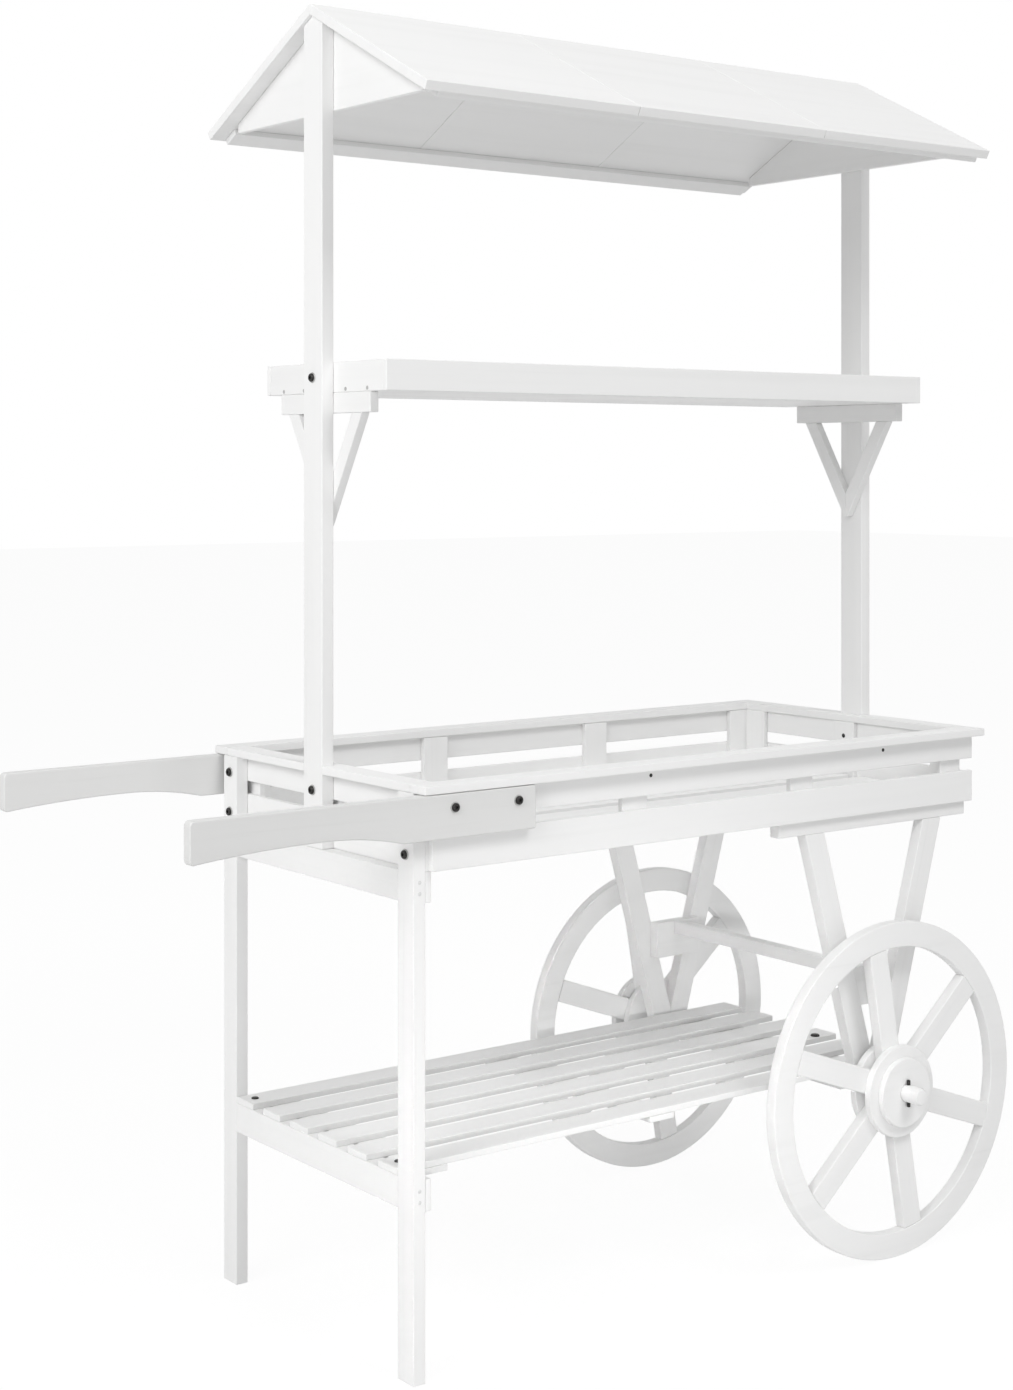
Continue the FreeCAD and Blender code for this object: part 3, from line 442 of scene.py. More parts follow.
@dataclass
class Joinery:
    """Boards, plates and turned pieces gathered in one mesh, each with its own run of grain.

    A piece made while a cover is set is painted over that far, and those of its faces that stand at one of
    the gap faces, along the gap axis, get painted shade: darker colour standing in for the shade inside
    narrow gaps.
    """

    name: str
    edge: float = 0.0014
    edge_steps: int = 2
    sharp_angle: float = math.radians(28)
    smooth_angle: float = 0.9
    grain_reach: float = 5.0
    made: int = 0
    cover: float = 0.0
    gap_axis: Axis = Axis.Y
    gap_faces: tuple[float, ...] = ()
    gap_touch: float = 1e-5

    def __post_init__(self) -> None:
        """Start with nothing gathered."""
        self.corners: list[Vector] = []
        self.faces: list[list[int]] = []
        self.grain: list[float] = []
        self.tone: list[float] = []
        self.painted: list[float] = []
        self.dusty: list[float] = []
        self.luck = random.Random(self.name)

    def _gather(self, piece: bmesh.types.BMesh, along: Vector, place: Optional[Matrix]) -> None:
        """Take over a finished piece with its grain and tone.

        Args:
            piece: The piece, which is used up.
            along: The direction of the grain, before the piece is placed.
            place: Where the piece goes, if it isn't made in place.
        """
        along = along.normalized()
        across = along.orthogonal().normalized()
        deep = along.cross(across)
        start = Vector([self.luck.uniform(-self.grain_reach, self.grain_reach) for _ in range(3)])
        tone = self.luck.random()
        first = len(self.corners)
        bmesh.ops.recalc_face_normals(piece, faces=piece.faces)
        piece.verts.index_update()
        for vertex in piece.verts:
            spot = vertex.co
            self.grain.extend(start + Vector((spot.dot(along), spot.dot(across), spot.dot(deep))))
            self.tone.append(tone)
            self.painted.append(self.cover)
            # Faces that stand at a gap face are marked for painted shade
            reach = spot[self.gap_axis.value]
            self.dusty.append(float(any(abs(reach - face) < self.gap_touch for face in self.gap_faces)))
            self.corners.append(place @ spot if place is not None else spot.copy())
        self.faces.extend([first + vertex.index for vertex in face.verts] for face in piece.faces)
        piece.free()
        self.made += 1

    def _soften(self, piece: bmesh.types.BMesh) -> None:
        """Round the sharp edges of a new piece.

        Args:
            piece: The piece.
        """
        sharp = [edge for edge in piece.edges if edge.calc_face_angle(0.0) > self.sharp_angle]
        bmesh.ops.bevel(piece, geom=sharp, offset=self.edge, offset_type="OFFSET",
                        segments=self.edge_steps, profile=0.5, affect="EDGES", clamp_overlap=True)

    def plate(self, outline: Sequence[Point], square_to: Axis, low: float, high: float,
              along: Optional[Vector] = None, place: Optional[Matrix] = None) -> None:
        """A flat piece sawn to an outline, with rounded edges.

        Args:
            outline: Corners in the two directions across the plate.
            square_to: The direction through the plate.
            low: Its low face.
            high: Its high face.
            along: The direction of its grain, or none for its longest side.
            place: Where it goes, if it isn't drawn in place.
        """
        piece = bmesh.new()
        first, second = square_to.others
        rings = []
        for level in (low, high):
            ring = []
            for corner in outline:
                spot = [0.0, 0.0, 0.0]
                spot[first], spot[second], spot[square_to.value] = corner[0], corner[1], level
                ring.append(piece.verts.new(spot))
            piece.faces.new(ring)
            rings.append(ring)
        for index, corner in enumerate(rings[0]):
            following = (index + 1) % len(outline)
            piece.faces.new((corner, rings[0][following], rings[1][following], rings[1][index]))
        bmesh.ops.recalc_face_normals(piece, faces=piece.faces)
        if along is None:
            reaches = [[vertex.co[axis.value] for vertex in piece.verts] for axis in Axis]
            spans = [max(reach) - min(reach) for reach in reaches]
            along = list(Axis)[spans.index(max(spans))].unit
        self._soften(piece)
        self._gather(piece, along, place)

    def board(self, low: Sequence[float], high: Sequence[float]) -> None:
        """A straight board between its lowest and its highest corner."""
        outline = [(low[0], low[1]), (high[0], low[1]), (high[0], high[1]), (low[0], high[1])]
        self.plate(outline, Axis.Z, low[2], high[2])

    def turned(self, profile: Sequence[Point], centre: Sequence[float], axis: Axis, steps: int,
               along: Optional[Vector] = None, closed: bool = True, place: Optional[Matrix] = None,
               six_sided: Sequence[int] = ()) -> None:
        """A piece turned on a lathe, of which some rings may be hexagons.

        Args:
            profile: Points (distance along the axis, radius), in order.
            centre: A point of the axis.
            axis: The direction of the axis.
            steps: How many flat strips go round it.
            along: The direction of its grain, or none for the axis.
            closed: Whether the last point joins the first, as on a ring.
            place: Where it goes, if it isn't made in place.
            six_sided: Which points go round as hexagons, with sides as far from the axis as their radius.
        """
        piece = bmesh.new()
        first, second = (list(Axis)[index].unit for index in axis.others)
        base = Vector(centre)
        rows = []
        for index, (distance, radius) in enumerate(profile):
            middle = base + axis.unit * distance
            if radius <= 0:
                rows.append([piece.verts.new(middle)])
                continue
            row = []
            for turn in (2 * math.pi * step / steps for step in range(steps)):
                reach = hexagon_reach(radius, turn) if index in six_sided else radius
                outward = first * math.cos(turn) + second * math.sin(turn)
                row.append(piece.verts.new(middle + outward * reach))
            rows.append(row)
        pairs = list(zip(rows, rows[1:])) + ([(rows[-1], rows[0])] if closed else [])
        for one, two in pairs:
            for step in range(steps):
                following = (step + 1) % steps
                corners = [one[step % len(one)], one[following % len(one)], two[following % len(two)],
                           two[step % len(two)]]
                unique = list(dict.fromkeys(corners))
                if len(unique) > 2:
                    piece.faces.new(unique)
        self._gather(piece, along or axis.unit, place)

    def as_object(self) -> bpy.types.Object:
        """Make the object of everything gathered.

        Returns:
            The object, shaded smooth over its rounded edges.
        """
        mesh = bpy.data.meshes.new(self.name)
        mesh.from_pydata(self.corners, [], self.faces)
        mesh.attributes.new("grain", "FLOAT_VECTOR", "POINT").data.foreach_set("vector", self.grain)
        for name, values in (("tone", self.tone), ("painted", self.painted), ("dusty", self.dusty)):
            mesh.attributes.new(name, "FLOAT", "POINT").data.foreach_set("value", values)
        mesh.polygons.foreach_set("use_smooth", [True] * len(mesh.polygons))
        mesh.set_sharp_from_angle(angle=self.smooth_angle)
        piece = bpy.data.objects.new(self.name, mesh)
        bpy.context.scene.collection.objects.link(piece)
        weighted = piece.modifiers.new("even_faces", "WEIGHTED_NORMAL")
        weighted.keep_sharp = True
        return piece


def hexagon_reach(half_width: float, turn: float) -> float:
    """How far the side of a hexagon stands from its middle.

    Args:
        half_width: Half the hexagon's width between opposite sides.
        turn: The angle to look in, where nought faces the middle of a side.

    Returns:
        The distance.
    """
    sixth = math.pi / 3
    return half_width / math.cos((turn + sixth / 2) % sixth - sixth / 2)


def rounded_ring(outer: float, inner: float, low: float, high: float, edge: float) -> list[Point]:
    """The section of a flat ring or disc with rounded edges, as (distance along the axis, radius).

    Args:
        outer: Its outer radius.
        inner: Its bore, or nought.
        low: Its low face.
        high: Its high face.
        edge: How much its edges are rounded.

    Returns:
        The points of the section.
    """
    corners = [(low, outer, 1, -1), (high, outer, -1, -1), (high, inner, -1, 1), (low, inner, 1, 1)]
    section = []
    for distance, radius, inward, towards in corners:
        turn = [(0.0, 1.0), (CORNER_MIDDLE, CORNER_MIDDLE), (1.0, 0.0)]
        if (inward > 0) != (towards < 0):
            turn.reverse()
        section += [(distance + inward * edge * d, radius + towards * edge * r) for d, r in turn]
    return section


def node_box(node: str) -> tuple[Vector, Vector]:
    """The lowest and highest corner of a CAD node."""
    low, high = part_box(node)
    return Vector(low), Vector(high)


def axis_point(node: str) -> Vector:
    """The middle of a CAD node, moved along Y to the middle of the cart.

    Args:
        node: The node, which is centred on an axis along Y.

    Returns:
        The point of its axis.
    """
    low, high = node_box(node)
    middle = (low + high) / 2
    middle.y = 0.0
    return middle


def spread(low: float, high: float, width: float, count: int) -> list[tuple[float, float]]:
    """Evenly spaced stretches of one width that fill a span from end to end.

    Args:
        low: Where the first one starts.
        high: Where the last one ends.
        width: The width of each.
        count: How many there are.

    Returns:
        The start and end of each.
    """
    pitch = (high - low - width) / (count - 1)
    return [(low + index * pitch, low + index * pitch + width) for index in range(count)]


def mirrored(outline: Sequence[Point]) -> list[Point]:
    """An outline on the other side of the middle."""
    return [(-u, v) for u, v in outline]


def arc(centre: Point, radius: float, start: float, end: float, steps: int) -> list[Point]:
    """Points along an arc, both ends included.

    Args:
        centre: The arc's centre.
        radius: Its radius.
        start: The angle of its first point.
        end: The angle of its last point.
        steps: How many stretches it has.

    Returns:
        The points.
    """
    turns = [start + (end - start) * step / steps for step in range(steps + 1)]
    return [(centre[0] + radius * math.cos(turn), centre[1] + radius * math.sin(turn)) for turn in turns]


# The cart

@dataclass
class CartPart:
    """What the sub-assemblies share: finishes, the boards' thickness and the roof's slope."""

    shop: Workshop
    wood: PaintedWood = field(default_factory=PaintedWood)
    steel: Steel = field(default_factory=Steel)
    board: float = 0.010
    widest_gap: float = 0.05
    half_span: float = 0.3097
    rise: float = 0.1575

    @property
    def slope(self) -> float:
        """The rise of the roof for each length across."""
        return self.rise / self.half_span

    def build(self) -> None:
        """Make every piece of the sub-assembly."""
        raise NotImplementedError

    def keep(self, joinery: Joinery, *nodes: str) -> None:
        """Hand over a wooden piece of the cart's own body."""
        self.shop.hand_over(joinery, Body.CART, self.wood, *nodes)

    def plain_boards(self, *nodes: str) -> None:
        """Nodes that are one straight board each.

        Args:
            nodes: The CAD nodes.
        """
        for name in nodes:
            joinery = Joinery(f"painted_{name}")
            joinery.board(*node_box(name))
            self.keep(joinery, name)

    def board_rows(self, node: str, across: Axis, width: float, count: int) -> None:
        """A node of evenly spaced boards of one width, with painted shade on the faces inside narrow gaps.

        Args:
            node: The CAD node.
            across: The direction in which the boards follow each other.
            width: The width of each board.
            count: How many boards there are.
        """
        low, high = node_box(node)
        joinery = Joinery(f"painted_{node}", gap_axis=across)
        stretches = spread(low[across.value], high[across.value], width, count)
        narrow = stretches[1][0] - stretches[0][1] < self.widest_gap
        for index, (start, end) in enumerate(stretches):
            corner, far = low.copy(), high.copy()
            corner[across.value], far[across.value] = start, end
            # The faces inside a narrow gap get painted shade
            if narrow:
                before = (start,) if index > 0 else ()
                after = (end,) if index < count - 1 else ()
                joinery.gap_faces = before + after
            joinery.board(corner, far)
        self.keep(joinery, node)


@dataclass
class EndFrame(CartPart):
    """The two legs, their cross rails and the boards behind those, and the two posts."""

    post_edge: float = 0.0016

    def build(self) -> None:
        """Make the legs, rails and posts."""
        self.plain_boards("leg_front", "leg_back", "apron", "lower_rail")
        self.backers()
        for end in End:
            self.post(end)

    def backers(self) -> None:
        """Thin boards behind the apron and the lower rail, as high as those are."""
        low, high = node_box("rail_backers")
        joinery = Joinery("painted_rail_backers")
        for rail in ("apron", "lower_rail"):
            rail_low, rail_high = node_box(rail)
            joinery.board((low.x, low.y, rail_low.z), (high.x, high.y, rail_high.z))
        self.keep(joinery, "rail_backers")

    def post(self, end: End) -> None:
        """A post cut to a point under the ridge.

        Args:
            end: The end of the cart that it stands at.
        """
        low, high = node_box(f"post_{end.word}")
        half = (high.y - low.y) / 2
        shoulder = high.z - half * self.slope
        outline = [(-half, low.z), (half, low.z), (half, shoulder), (0.0, high.z), (-half, shoulder)]
        joinery = Joinery(f"painted_post_{end.word}", edge=self.post_edge)
        joinery.plate(outline, Axis.X, low.x, high.x, Axis.Z.unit)
        self.keep(joinery, f"post_{end.word}")


@dataclass
class Tray(CartPart):
    """The walls, uprights, floor and rim of the tray."""

    upright: float = 0.050
    slat: float = 0.050
    side_uprights: int = 4
    end_uprights: int = 3
    floor_slats: int = 7
    rim_width: float = 0.040
    notch_gap: float = 0.0003

    def build(self) -> None:
        """Make the tray."""
        for band in ("lower", "upper"):
            self.plain_boards(f"tray_{band}_front", f"tray_{band}_back")
            self.board_rows(f"tray_{band}_ends", Axis.X, self.board, 2)
        self.uprights()
        self.floor()
        self.rim()

    def uprights(self) -> None:
        """Short flat uprights inside the walls."""
        low, high = node_box("tray_side_uprights")
        sides = Joinery("painted_tray_side_uprights")
        for start, end in spread(low.x, high.x, self.upright, self.side_uprights):
            sides.board((start, low.y, low.z), (end, low.y + self.board, high.z))
            sides.board((start, high.y - self.board, low.z), (end, high.y, high.z))
        self.keep(sides, "tray_side_uprights")
        low, high = node_box("tray_end_uprights")
        ends = Joinery("painted_tray_end_uprights")
        for start, end in spread(low.y, high.y, self.upright, self.end_uprights):
            ends.board((low.x, start, low.z), (low.x + self.board, end, high.z))
            ends.board((high.x - self.board, start, low.z), (high.x, end, high.z))
        self.keep(ends, "tray_end_uprights")

    def floor(self) -> None:
        """Slats on cross bearers, of which the outer two stand a board's thickness inward."""
        low, high = node_box("tray_floor_bearers")
        first, last = low.x - self.board, high.x + self.board
        bearers = Joinery("painted_tray_floor_bearers")
        stretches = spread(first, last, self.slat, self.side_uprights)
        for index, (start, end) in enumerate(stretches):
            shift = {0: self.board, len(stretches) - 1: -self.board}.get(index, 0.0)
            bearers.board((start + shift, low.y, low.z), (end + shift, high.y, high.z))
        self.keep(bearers, "tray_floor_bearers")
        self.board_rows("tray_floor_slats", Axis.Y, self.slat, self.floor_slats)

    def rim(self) -> None:
        """Two long rails and two end rails that are notched round the posts."""
        self.plain_boards("rim_front", "rim_back")
        low, high = node_box("rim_ends")
        post_low, post_high = node_box("post_left")
        half = (post_high.y - post_low.y) / 2 + self.notch_gap
        depth = post_high.x - post_low.x + self.notch_gap
        outline = [
            (0.0, low.y), (self.rim_width, low.y), (self.rim_width, high.y), (0.0, high.y),
            (0.0, half), (depth, half), (depth, -half), (0.0, -half),
        ]
        joinery = Joinery("painted_rim_ends")
        left = [(low.x + u, v) for u, v in outline]
        right = [(high.x - u, v) for u, v in outline]
        joinery.plate(left, Axis.Z, low.z, high.z, Axis.Y.unit)
        joinery.plate(right, Axis.Z, low.z, high.z, Axis.Y.unit)
        self.keep(joinery, "rim_ends")


@dataclass
class Handles(CartPart):
    """Two handles, thinned to a neck by a long curve underneath, whose paint is worn greyer by hands."""

    wood: PaintedWood = field(default_factory=lambda: PaintedWood(
        name="worn_handle_paint", paint=(0.745, 0.745, 0.74, 1.0), shade=(0.65, 0.65, 0.64, 1.0)))
    reach: float = 0.373
    neck_reach: float = 0.165
    neck_start: float = 0.035
    neck_depth: float = 0.048
    tip_depth: float = 0.0595
    tip_round: float = 0.007
    tip_lift: float = 0.0005
    tip_turn: float = 0.1
    edge: float = 0.0022
    steps: int = 20
    corner_steps: int = 5

    def build(self) -> None:
        """Make both handles."""
        for side in Side:
            self.handle(side)

    def sweep(self, start: Point, end: Point, crest: float) -> list[Point]:
        """A curve that is level where it crests.

        Args:
            start: Its first point.
            end: Its last point.
            crest: Where along the handle it is level.

        Returns:
            Points of the arc from the first point up to the last, which is left out.
        """
        (u1, v1), (u2, v2) = start, end
        middle = ((u2 - u1) * (u1 + u2 - 2 * crest) / (v2 - v1) + v1 + v2) / 2
        radius = math.hypot(u1 - crest, v1 - middle)
        turns = [math.atan2(v - middle, u - crest) for u, v in (start, end)]
        return arc((crest, middle), radius, turns[0], turns[1], self.steps)[:-1]

    def handle(self, side: Side) -> None:
        """One handle.

        Args:
            side: The side of the cart that it is bolted to.
        """
        node = f"handle_{side.word}"
        low, high = node_box(node)
        legs = low.x + self.reach
        neck, start = legs - self.neck_reach, legs - self.neck_start
        tip = (low.x, high.z - self.tip_depth)
        crest = (neck, high.z - self.neck_depth)
        # The low corner takes the place of the first two points of the underside
        under = self.sweep(tip, crest, neck)[2:] + self.sweep(crest, (start, low.z), neck)
        corner_x = low.x + self.tip_round
        top_corner = arc((corner_x, high.z - self.tip_round), self.tip_round,
                         math.pi / 2, math.pi, self.corner_steps)
        low_corner = arc((corner_x, tip[1] + self.tip_round + self.tip_lift), self.tip_round,
                         math.pi, 3 * math.pi / 2 - self.tip_turn, self.corner_steps)
        outline = low_corner + under + [(start, low.z), (high.x, low.z), (high.x, high.z)] + top_corner
        joinery = Joinery(f"painted_{node}", edge=self.edge)
        joinery.plate(outline, Axis.Y, low.y, high.y, Axis.X.unit)
        self.keep(joinery, node)


@dataclass
class Undercarriage(CartPart):
    """The axle and what carries it, and the lower shelf."""

    axle_size: float = 0.028
    axle_edge: float = 0.0018
    axle_chamfer: float = 0.003
    # How far the chamfer's middle stands from the axle's end and surface, as shares of the chamfer
    chamfer_middle: Point = (0.25, 0.7)
    strut_width: float = 0.0438
    head_spread: float = 0.139
    foot_spread: float = 0.014
    foot_drop: float = 0.0305
    slat: float = 0.050
    slats: int = 6
    bearer: float = 0.025
    tie: float = 0.020
    spacer_radius: float = 0.024
    spacer_edge: float = 0.0015
    pin_radius: float = 0.003
    pin_dome: float = 0.0008
    round_steps: int = 48
    pin_steps: int = 20

    @property
    def centre(self) -> Vector:
        """The middle of the axle."""
        return axis_point("axle")

    def build(self) -> None:
        """Make the struts, the axle and the lower shelf."""
        self.struts()
        self.cross_pieces()
        self.axle()
        self.wheel_spacers()
        self.cross_pins()
        self.shelf()

    def struts(self) -> None:
        """Two struts on each side, which meet in a point round the axle."""
        centre = self.centre
        for side in Side:
            node = f"struts_{side.word}"
            low, high = node_box(node)
            head = high.z - centre.z
            slope = (self.head_spread - self.foot_spread) / head
            half = self.strut_width / 2
            outline = [
                (0.0, -self.foot_drop),
                (self.foot_spread + half - slope * self.foot_drop, -self.foot_drop),
                (self.head_spread + half, head), (self.head_spread - half, head),
                (0.0, (half - self.foot_spread) / slope),
            ]
            lean = Vector((slope, 0.0, 1.0))
            joinery = Joinery(f"painted_{node}")
            place = Matrix.Translation(centre)
            joinery.plate(outline, Axis.Y, low.y, high.y, lean, place)
            joinery.plate(mirrored(outline), Axis.Y, low.y, high.y, Vector((-slope, 0.0, 1.0)), place)
            self.keep(joinery, node)

    def cross_pieces(self) -> None:
        """Cleats under the tray, ties across the struts and the stretcher between the ties."""
        strut_low, strut_high = node_box("struts_front")
        self.board_rows("cleats", Axis.Y, strut_high.y - strut_low.y, 2)
        self.board_rows("strut_ties", Axis.Y, self.tie, 2)
        self.plain_boards("stretcher")

    def axle(self) -> None:
        """A square axle with round, chamfered ends."""
        centre = self.centre
        half, cut = self.axle_size / 2, self.axle_chamfer
        tip, shoulder = node_box("axle")[1].y, -node_box("struts_front")[1].y
        joinery = Joinery("painted_axle", edge=self.axle_edge)
        joinery.board((centre.x - half, -shoulder, centre.z - half),
                      (centre.x + half, shoulder, centre.z + half))
        late, deep = self.chamfer_middle
        for sign in (-1, 1):
            profile = [
                (sign * shoulder, half), (sign * (tip - cut), half),
                (sign * (tip - cut * late), half - cut * deep), (sign * tip, half - cut), (sign * tip, 0.0),
            ]
            joinery.turned(profile, centre, Axis.Y, self.round_steps, closed=False)
        self.keep(joinery, "axle")

    def wheel_spacers(self) -> None:
        """A ring on each side, from the plane of the leg's outer face to the wheel."""
        inner, outer = node_box("leg_back")[1].y, node_box("wheel_spacers")[1].y
        section = rounded_ring(self.spacer_radius, self.axle_size / 2, inner, outer, self.spacer_edge)
        joinery = Joinery("painted_wheel_spacers")
        for sign in (1, -1):
            profile = [(sign * distance, radius) for distance, radius in section]
            joinery.turned(profile, self.centre, Axis.Y, self.round_steps)
        self.keep(joinery, "wheel_spacers")

    def cross_pins(self) -> None:
        """A steel pin through each end of the axle."""
        low, high = node_box("axle_pins")
        radius, dome = self.pin_radius, self.pin_dome
        profile = [
            (low.z, 0.0), (low.z, radius - dome), (low.z + dome, radius),
            (high.z - dome, radius), (high.z, radius - dome), (high.z, 0.0),
        ]
        joinery = Joinery("steel_axle_pins")
        for y in (low.y + radius, high.y - radius):
            joinery.turned(profile, (self.centre.x, y, 0.0), Axis.Z, self.pin_steps, closed=False)
        self.shop.hand_over(joinery, Body.CART, self.steel, "axle_pins")

    def shelf(self) -> None:
        """The lower shelf's slats, its two flat battens and the bearers beside the axle."""
        self.board_rows("lower_shelf_slats", Axis.Y, self.slat, self.slats)
        self.board_rows("lower_shelf_battens", Axis.X, self.slat, 2)
        self.board_rows("axle_bearers", Axis.X, self.bearer, 2)


@dataclass
class Wheel(CartPart):
    """A flat ring, six spokes and a hub of stacked discs."""

    side: Side = Side.FRONT
    ring_width: float = 0.0415
    spoke_width: float = 0.040
    spokes: int = 6
    first_angle: float = -20.0
    core_radius: float = 0.045
    cap_radius: float = 0.0565
    plate_thickness: float = 0.013
    bore: float = 0.01406
    edge: float = 0.002
    steps: int = 96
    spoke_end_steps: int = 6

    @property
    def body(self) -> Body:
        """The body that the wheel rides on."""
        return Body.FRONT_WHEEL if self.side is Side.FRONT else Body.BACK_WHEEL

    def give(self, joinery: Joinery, part: str) -> None:
        """Hand over one piece of the wheel."""
        self.shop.hand_over(joinery, self.body, self.wood, f"wheel_{self.side.word}_{part}")

    def build(self) -> None:
        """Make the ring, the spokes and the hub."""
        node = f"wheel_{self.side.word}_rim"
        low, high = node_box(node)
        centre = axis_point(node)
        radius = (high.x - low.x) / 2
        inner = radius - self.ring_width
        ring = Joinery(f"painted_{node}")
        section = rounded_ring(radius, inner, low.y, high.y, self.edge)
        ring.turned(section, centre, Axis.Y, self.steps, Axis.X.unit)
        self.give(ring, "rim")
        self.spoke_set(centre, low.y, high.y, inner)
        self.hub(centre)

    def spoke_set(self, centre: Vector, low: float, high: float, inner: float) -> None:
        """Six flat spokes whose ends follow the hub and the ring.

        Args:
            centre: A point of the wheel's axis.
            low: The low face of the spokes.
            high: The high face of the spokes.
            inner: The inner radius of the ring.
        """
        half = self.spoke_width / 2
        near, far = math.asin(half / self.core_radius), math.asin(half / inner)
        outline = (arc((0.0, 0.0), inner, -far, far, self.spoke_end_steps)
                   + arc((0.0, 0.0), self.core_radius, near, -near, self.spoke_end_steps))
        joinery = Joinery(f"painted_wheel_{self.side.word}_spokes", edge=self.edge)
        for index in range(self.spokes):
            angle = math.radians(self.first_angle + index * 360 / self.spokes)
            place = Matrix.Translation(centre) @ Matrix.Rotation(-angle, 4, "Y")
            joinery.plate(outline, Axis.Y, low, high, Axis.X.unit, place)
        self.give(joinery, "spokes")

    def hub(self, centre: Vector) -> None:
        """The core between the spokes, the flange behind it and the two discs in front.

        Args:
            centre: A point of the wheel's axis.
        """
        word = self.side.word
        for part in ("hub_core", "hub_flange"):
            low, high = node_box(f"wheel_{word}_{part}")
            joinery = Joinery(f"painted_wheel_{word}_{part}")
            section = rounded_ring((high.x - low.x) / 2, self.bore, low.y, high.y, self.edge)
            joinery.turned(section, centre, Axis.Y, self.steps, Axis.X.unit)
            self.give(joinery, part)
        low, high = node_box(f"wheel_{word}_hub_discs")
        near, outer = (high.y, low.y) if self.side is Side.FRONT else (low.y, high.y)
        step = near + self.side.sign * self.plate_thickness
        discs = Joinery(f"painted_wheel_{word}_hub_discs")
        plate_radius = (high.x - low.x) / 2
        for radius, first, second in ((plate_radius, near, step), (self.cap_radius, step, outer)):
            section = rounded_ring(radius, self.bore, min(first, second), max(first, second), self.edge)
            discs.turned(section, centre, Axis.Y, self.steps, Axis.X.unit)
        self.give(discs, "hub_discs")


@dataclass
class MiddleShelf(CartPart):
    """The shallow shelf between the posts, with its bearers and braces."""

    slat: float = 0.050
    slats: int = 5
    bearer: float = 0.015
    brace_spread: float = 0.1025
    brace_width: float = 0.028
    brace_foot: float = 0.004

    def build(self) -> None:
        """Make the shelf."""
        self.plain_boards("shelf_lip_front", "shelf_lip_back")
        self.board_rows("shelf_ends", Axis.X, self.board, 2)
        self.board_rows("shelf_slats", Axis.Y, self.slat, self.slats)
        self.board_rows("shelf_bearers", Axis.X, self.bearer, 2)
        self.braces()

    def braces(self) -> None:
        """Two slanted braces under each bearer, which meet in front of the post."""
        low, high = node_box("shelf_braces")
        slope = (self.brace_spread - self.brace_foot) / (high.z - low.z)
        inner = self.brace_spread - self.brace_width
        outline = [
            (0.0, low.z), (self.brace_foot, low.z), (self.brace_spread, high.z), (inner, high.z),
            (0.0, high.z - inner / slope),
        ]
        joinery = Joinery("painted_shelf_braces")
        for start in (low.x, high.x - self.bearer):
            end = start + self.bearer
            joinery.plate(outline, Axis.X, start, end, Vector((0.0, slope, 1.0)))
            joinery.plate(mirrored(outline), Axis.X, start, end, Vector((0.0, -slope, 1.0)))
        self.keep(joinery, "shelf_braces")


@dataclass
class Roof(CartPart):
    """Two slopes of three sheets, two gables and a batten under each eave."""

    thickness: float = 0.015
    sheets: int = 3
    joint: float = 0.0006
    sheet_edge: float = 0.0011
    batten_width: float = 0.031
    batten_inset: float = 0.005

    @property
    def along_slope(self) -> Vector:
        """A unit vector down the back slope, as (y, z)."""
        return Vector((1.0, -self.slope)).normalized()

    def build(self) -> None:
        """Make the roof."""
        for side in Side:
            self.slope_sheets(side)
        for end in End:
            self.gable(end)
        self.battens()

    def slope_sheets(self, side: Side) -> None:
        """The sheets of one slope.

        Args:
            side: The side of the cart that the slope falls to.
        """
        node = f"roof_{side.word}_sheets"
        low, high = node_box(node)
        down = self.along_slope
        inward = Vector((down.y, -down.x)) * self.thickness
        top = Vector((0.0, high.z))
        eave = Vector((self.half_span, high.z - self.rise))
        under_ridge = top.y - self.thickness * math.hypot(1.0, self.slope)
        outline = [(0.0, top.y), (0.0, under_ridge), tuple(eave + inward), tuple(eave)]
        if side is Side.FRONT:
            outline = mirrored(outline)
        joinery = Joinery(f"painted_{node}", edge=self.sheet_edge)
        length = (high.x - low.x - (self.sheets - 1) * self.joint) / self.sheets
        for start, end in spread(low.x, high.x, length, self.sheets):
            joinery.plate(outline, Axis.X, start, end, Axis.X.unit)
        self.keep(joinery, node)

    def gable(self, end: End) -> None:
        """The board that closes one end of the roof.

        Args:
            end: The end of the cart.
        """
        node = f"gable_{end.word}"
        low, high = node_box(node)
        shoulder = high.z - high.y * self.slope
        outline = [(low.y, low.z), (high.y, low.z), (high.y, shoulder), (0.0, high.z), (low.y, shoulder)]
        joinery = Joinery(f"painted_{node}")
        joinery.plate(outline, Axis.X, low.x, high.x, Axis.Y.unit)
        self.keep(joinery, node)

    def battens(self) -> None:
        """A batten under each eave."""
        low, high = node_box("roof_eave_battens")
        ridge = node_box("roof_back_sheets")[1].z
        down = self.along_slope
        inward = Vector((down.y, -down.x))
        eave = Vector((self.half_span, ridge - self.rise)) + inward * self.thickness
        outer = eave - down * self.batten_inset
        inner = outer - down * self.batten_width
        depth = inward * self.board
        outline = [tuple(outer), tuple(inner), tuple(inner + depth), tuple(outer + depth)]
        joinery = Joinery("painted_roof_eave_battens")
        joinery.plate(outline, Axis.X, low.x, high.x, Axis.X.unit)
        joinery.plate(mirrored(outline), Axis.X, low.x, high.x, Axis.X.unit)
        self.keep(joinery, "roof_eave_battens")


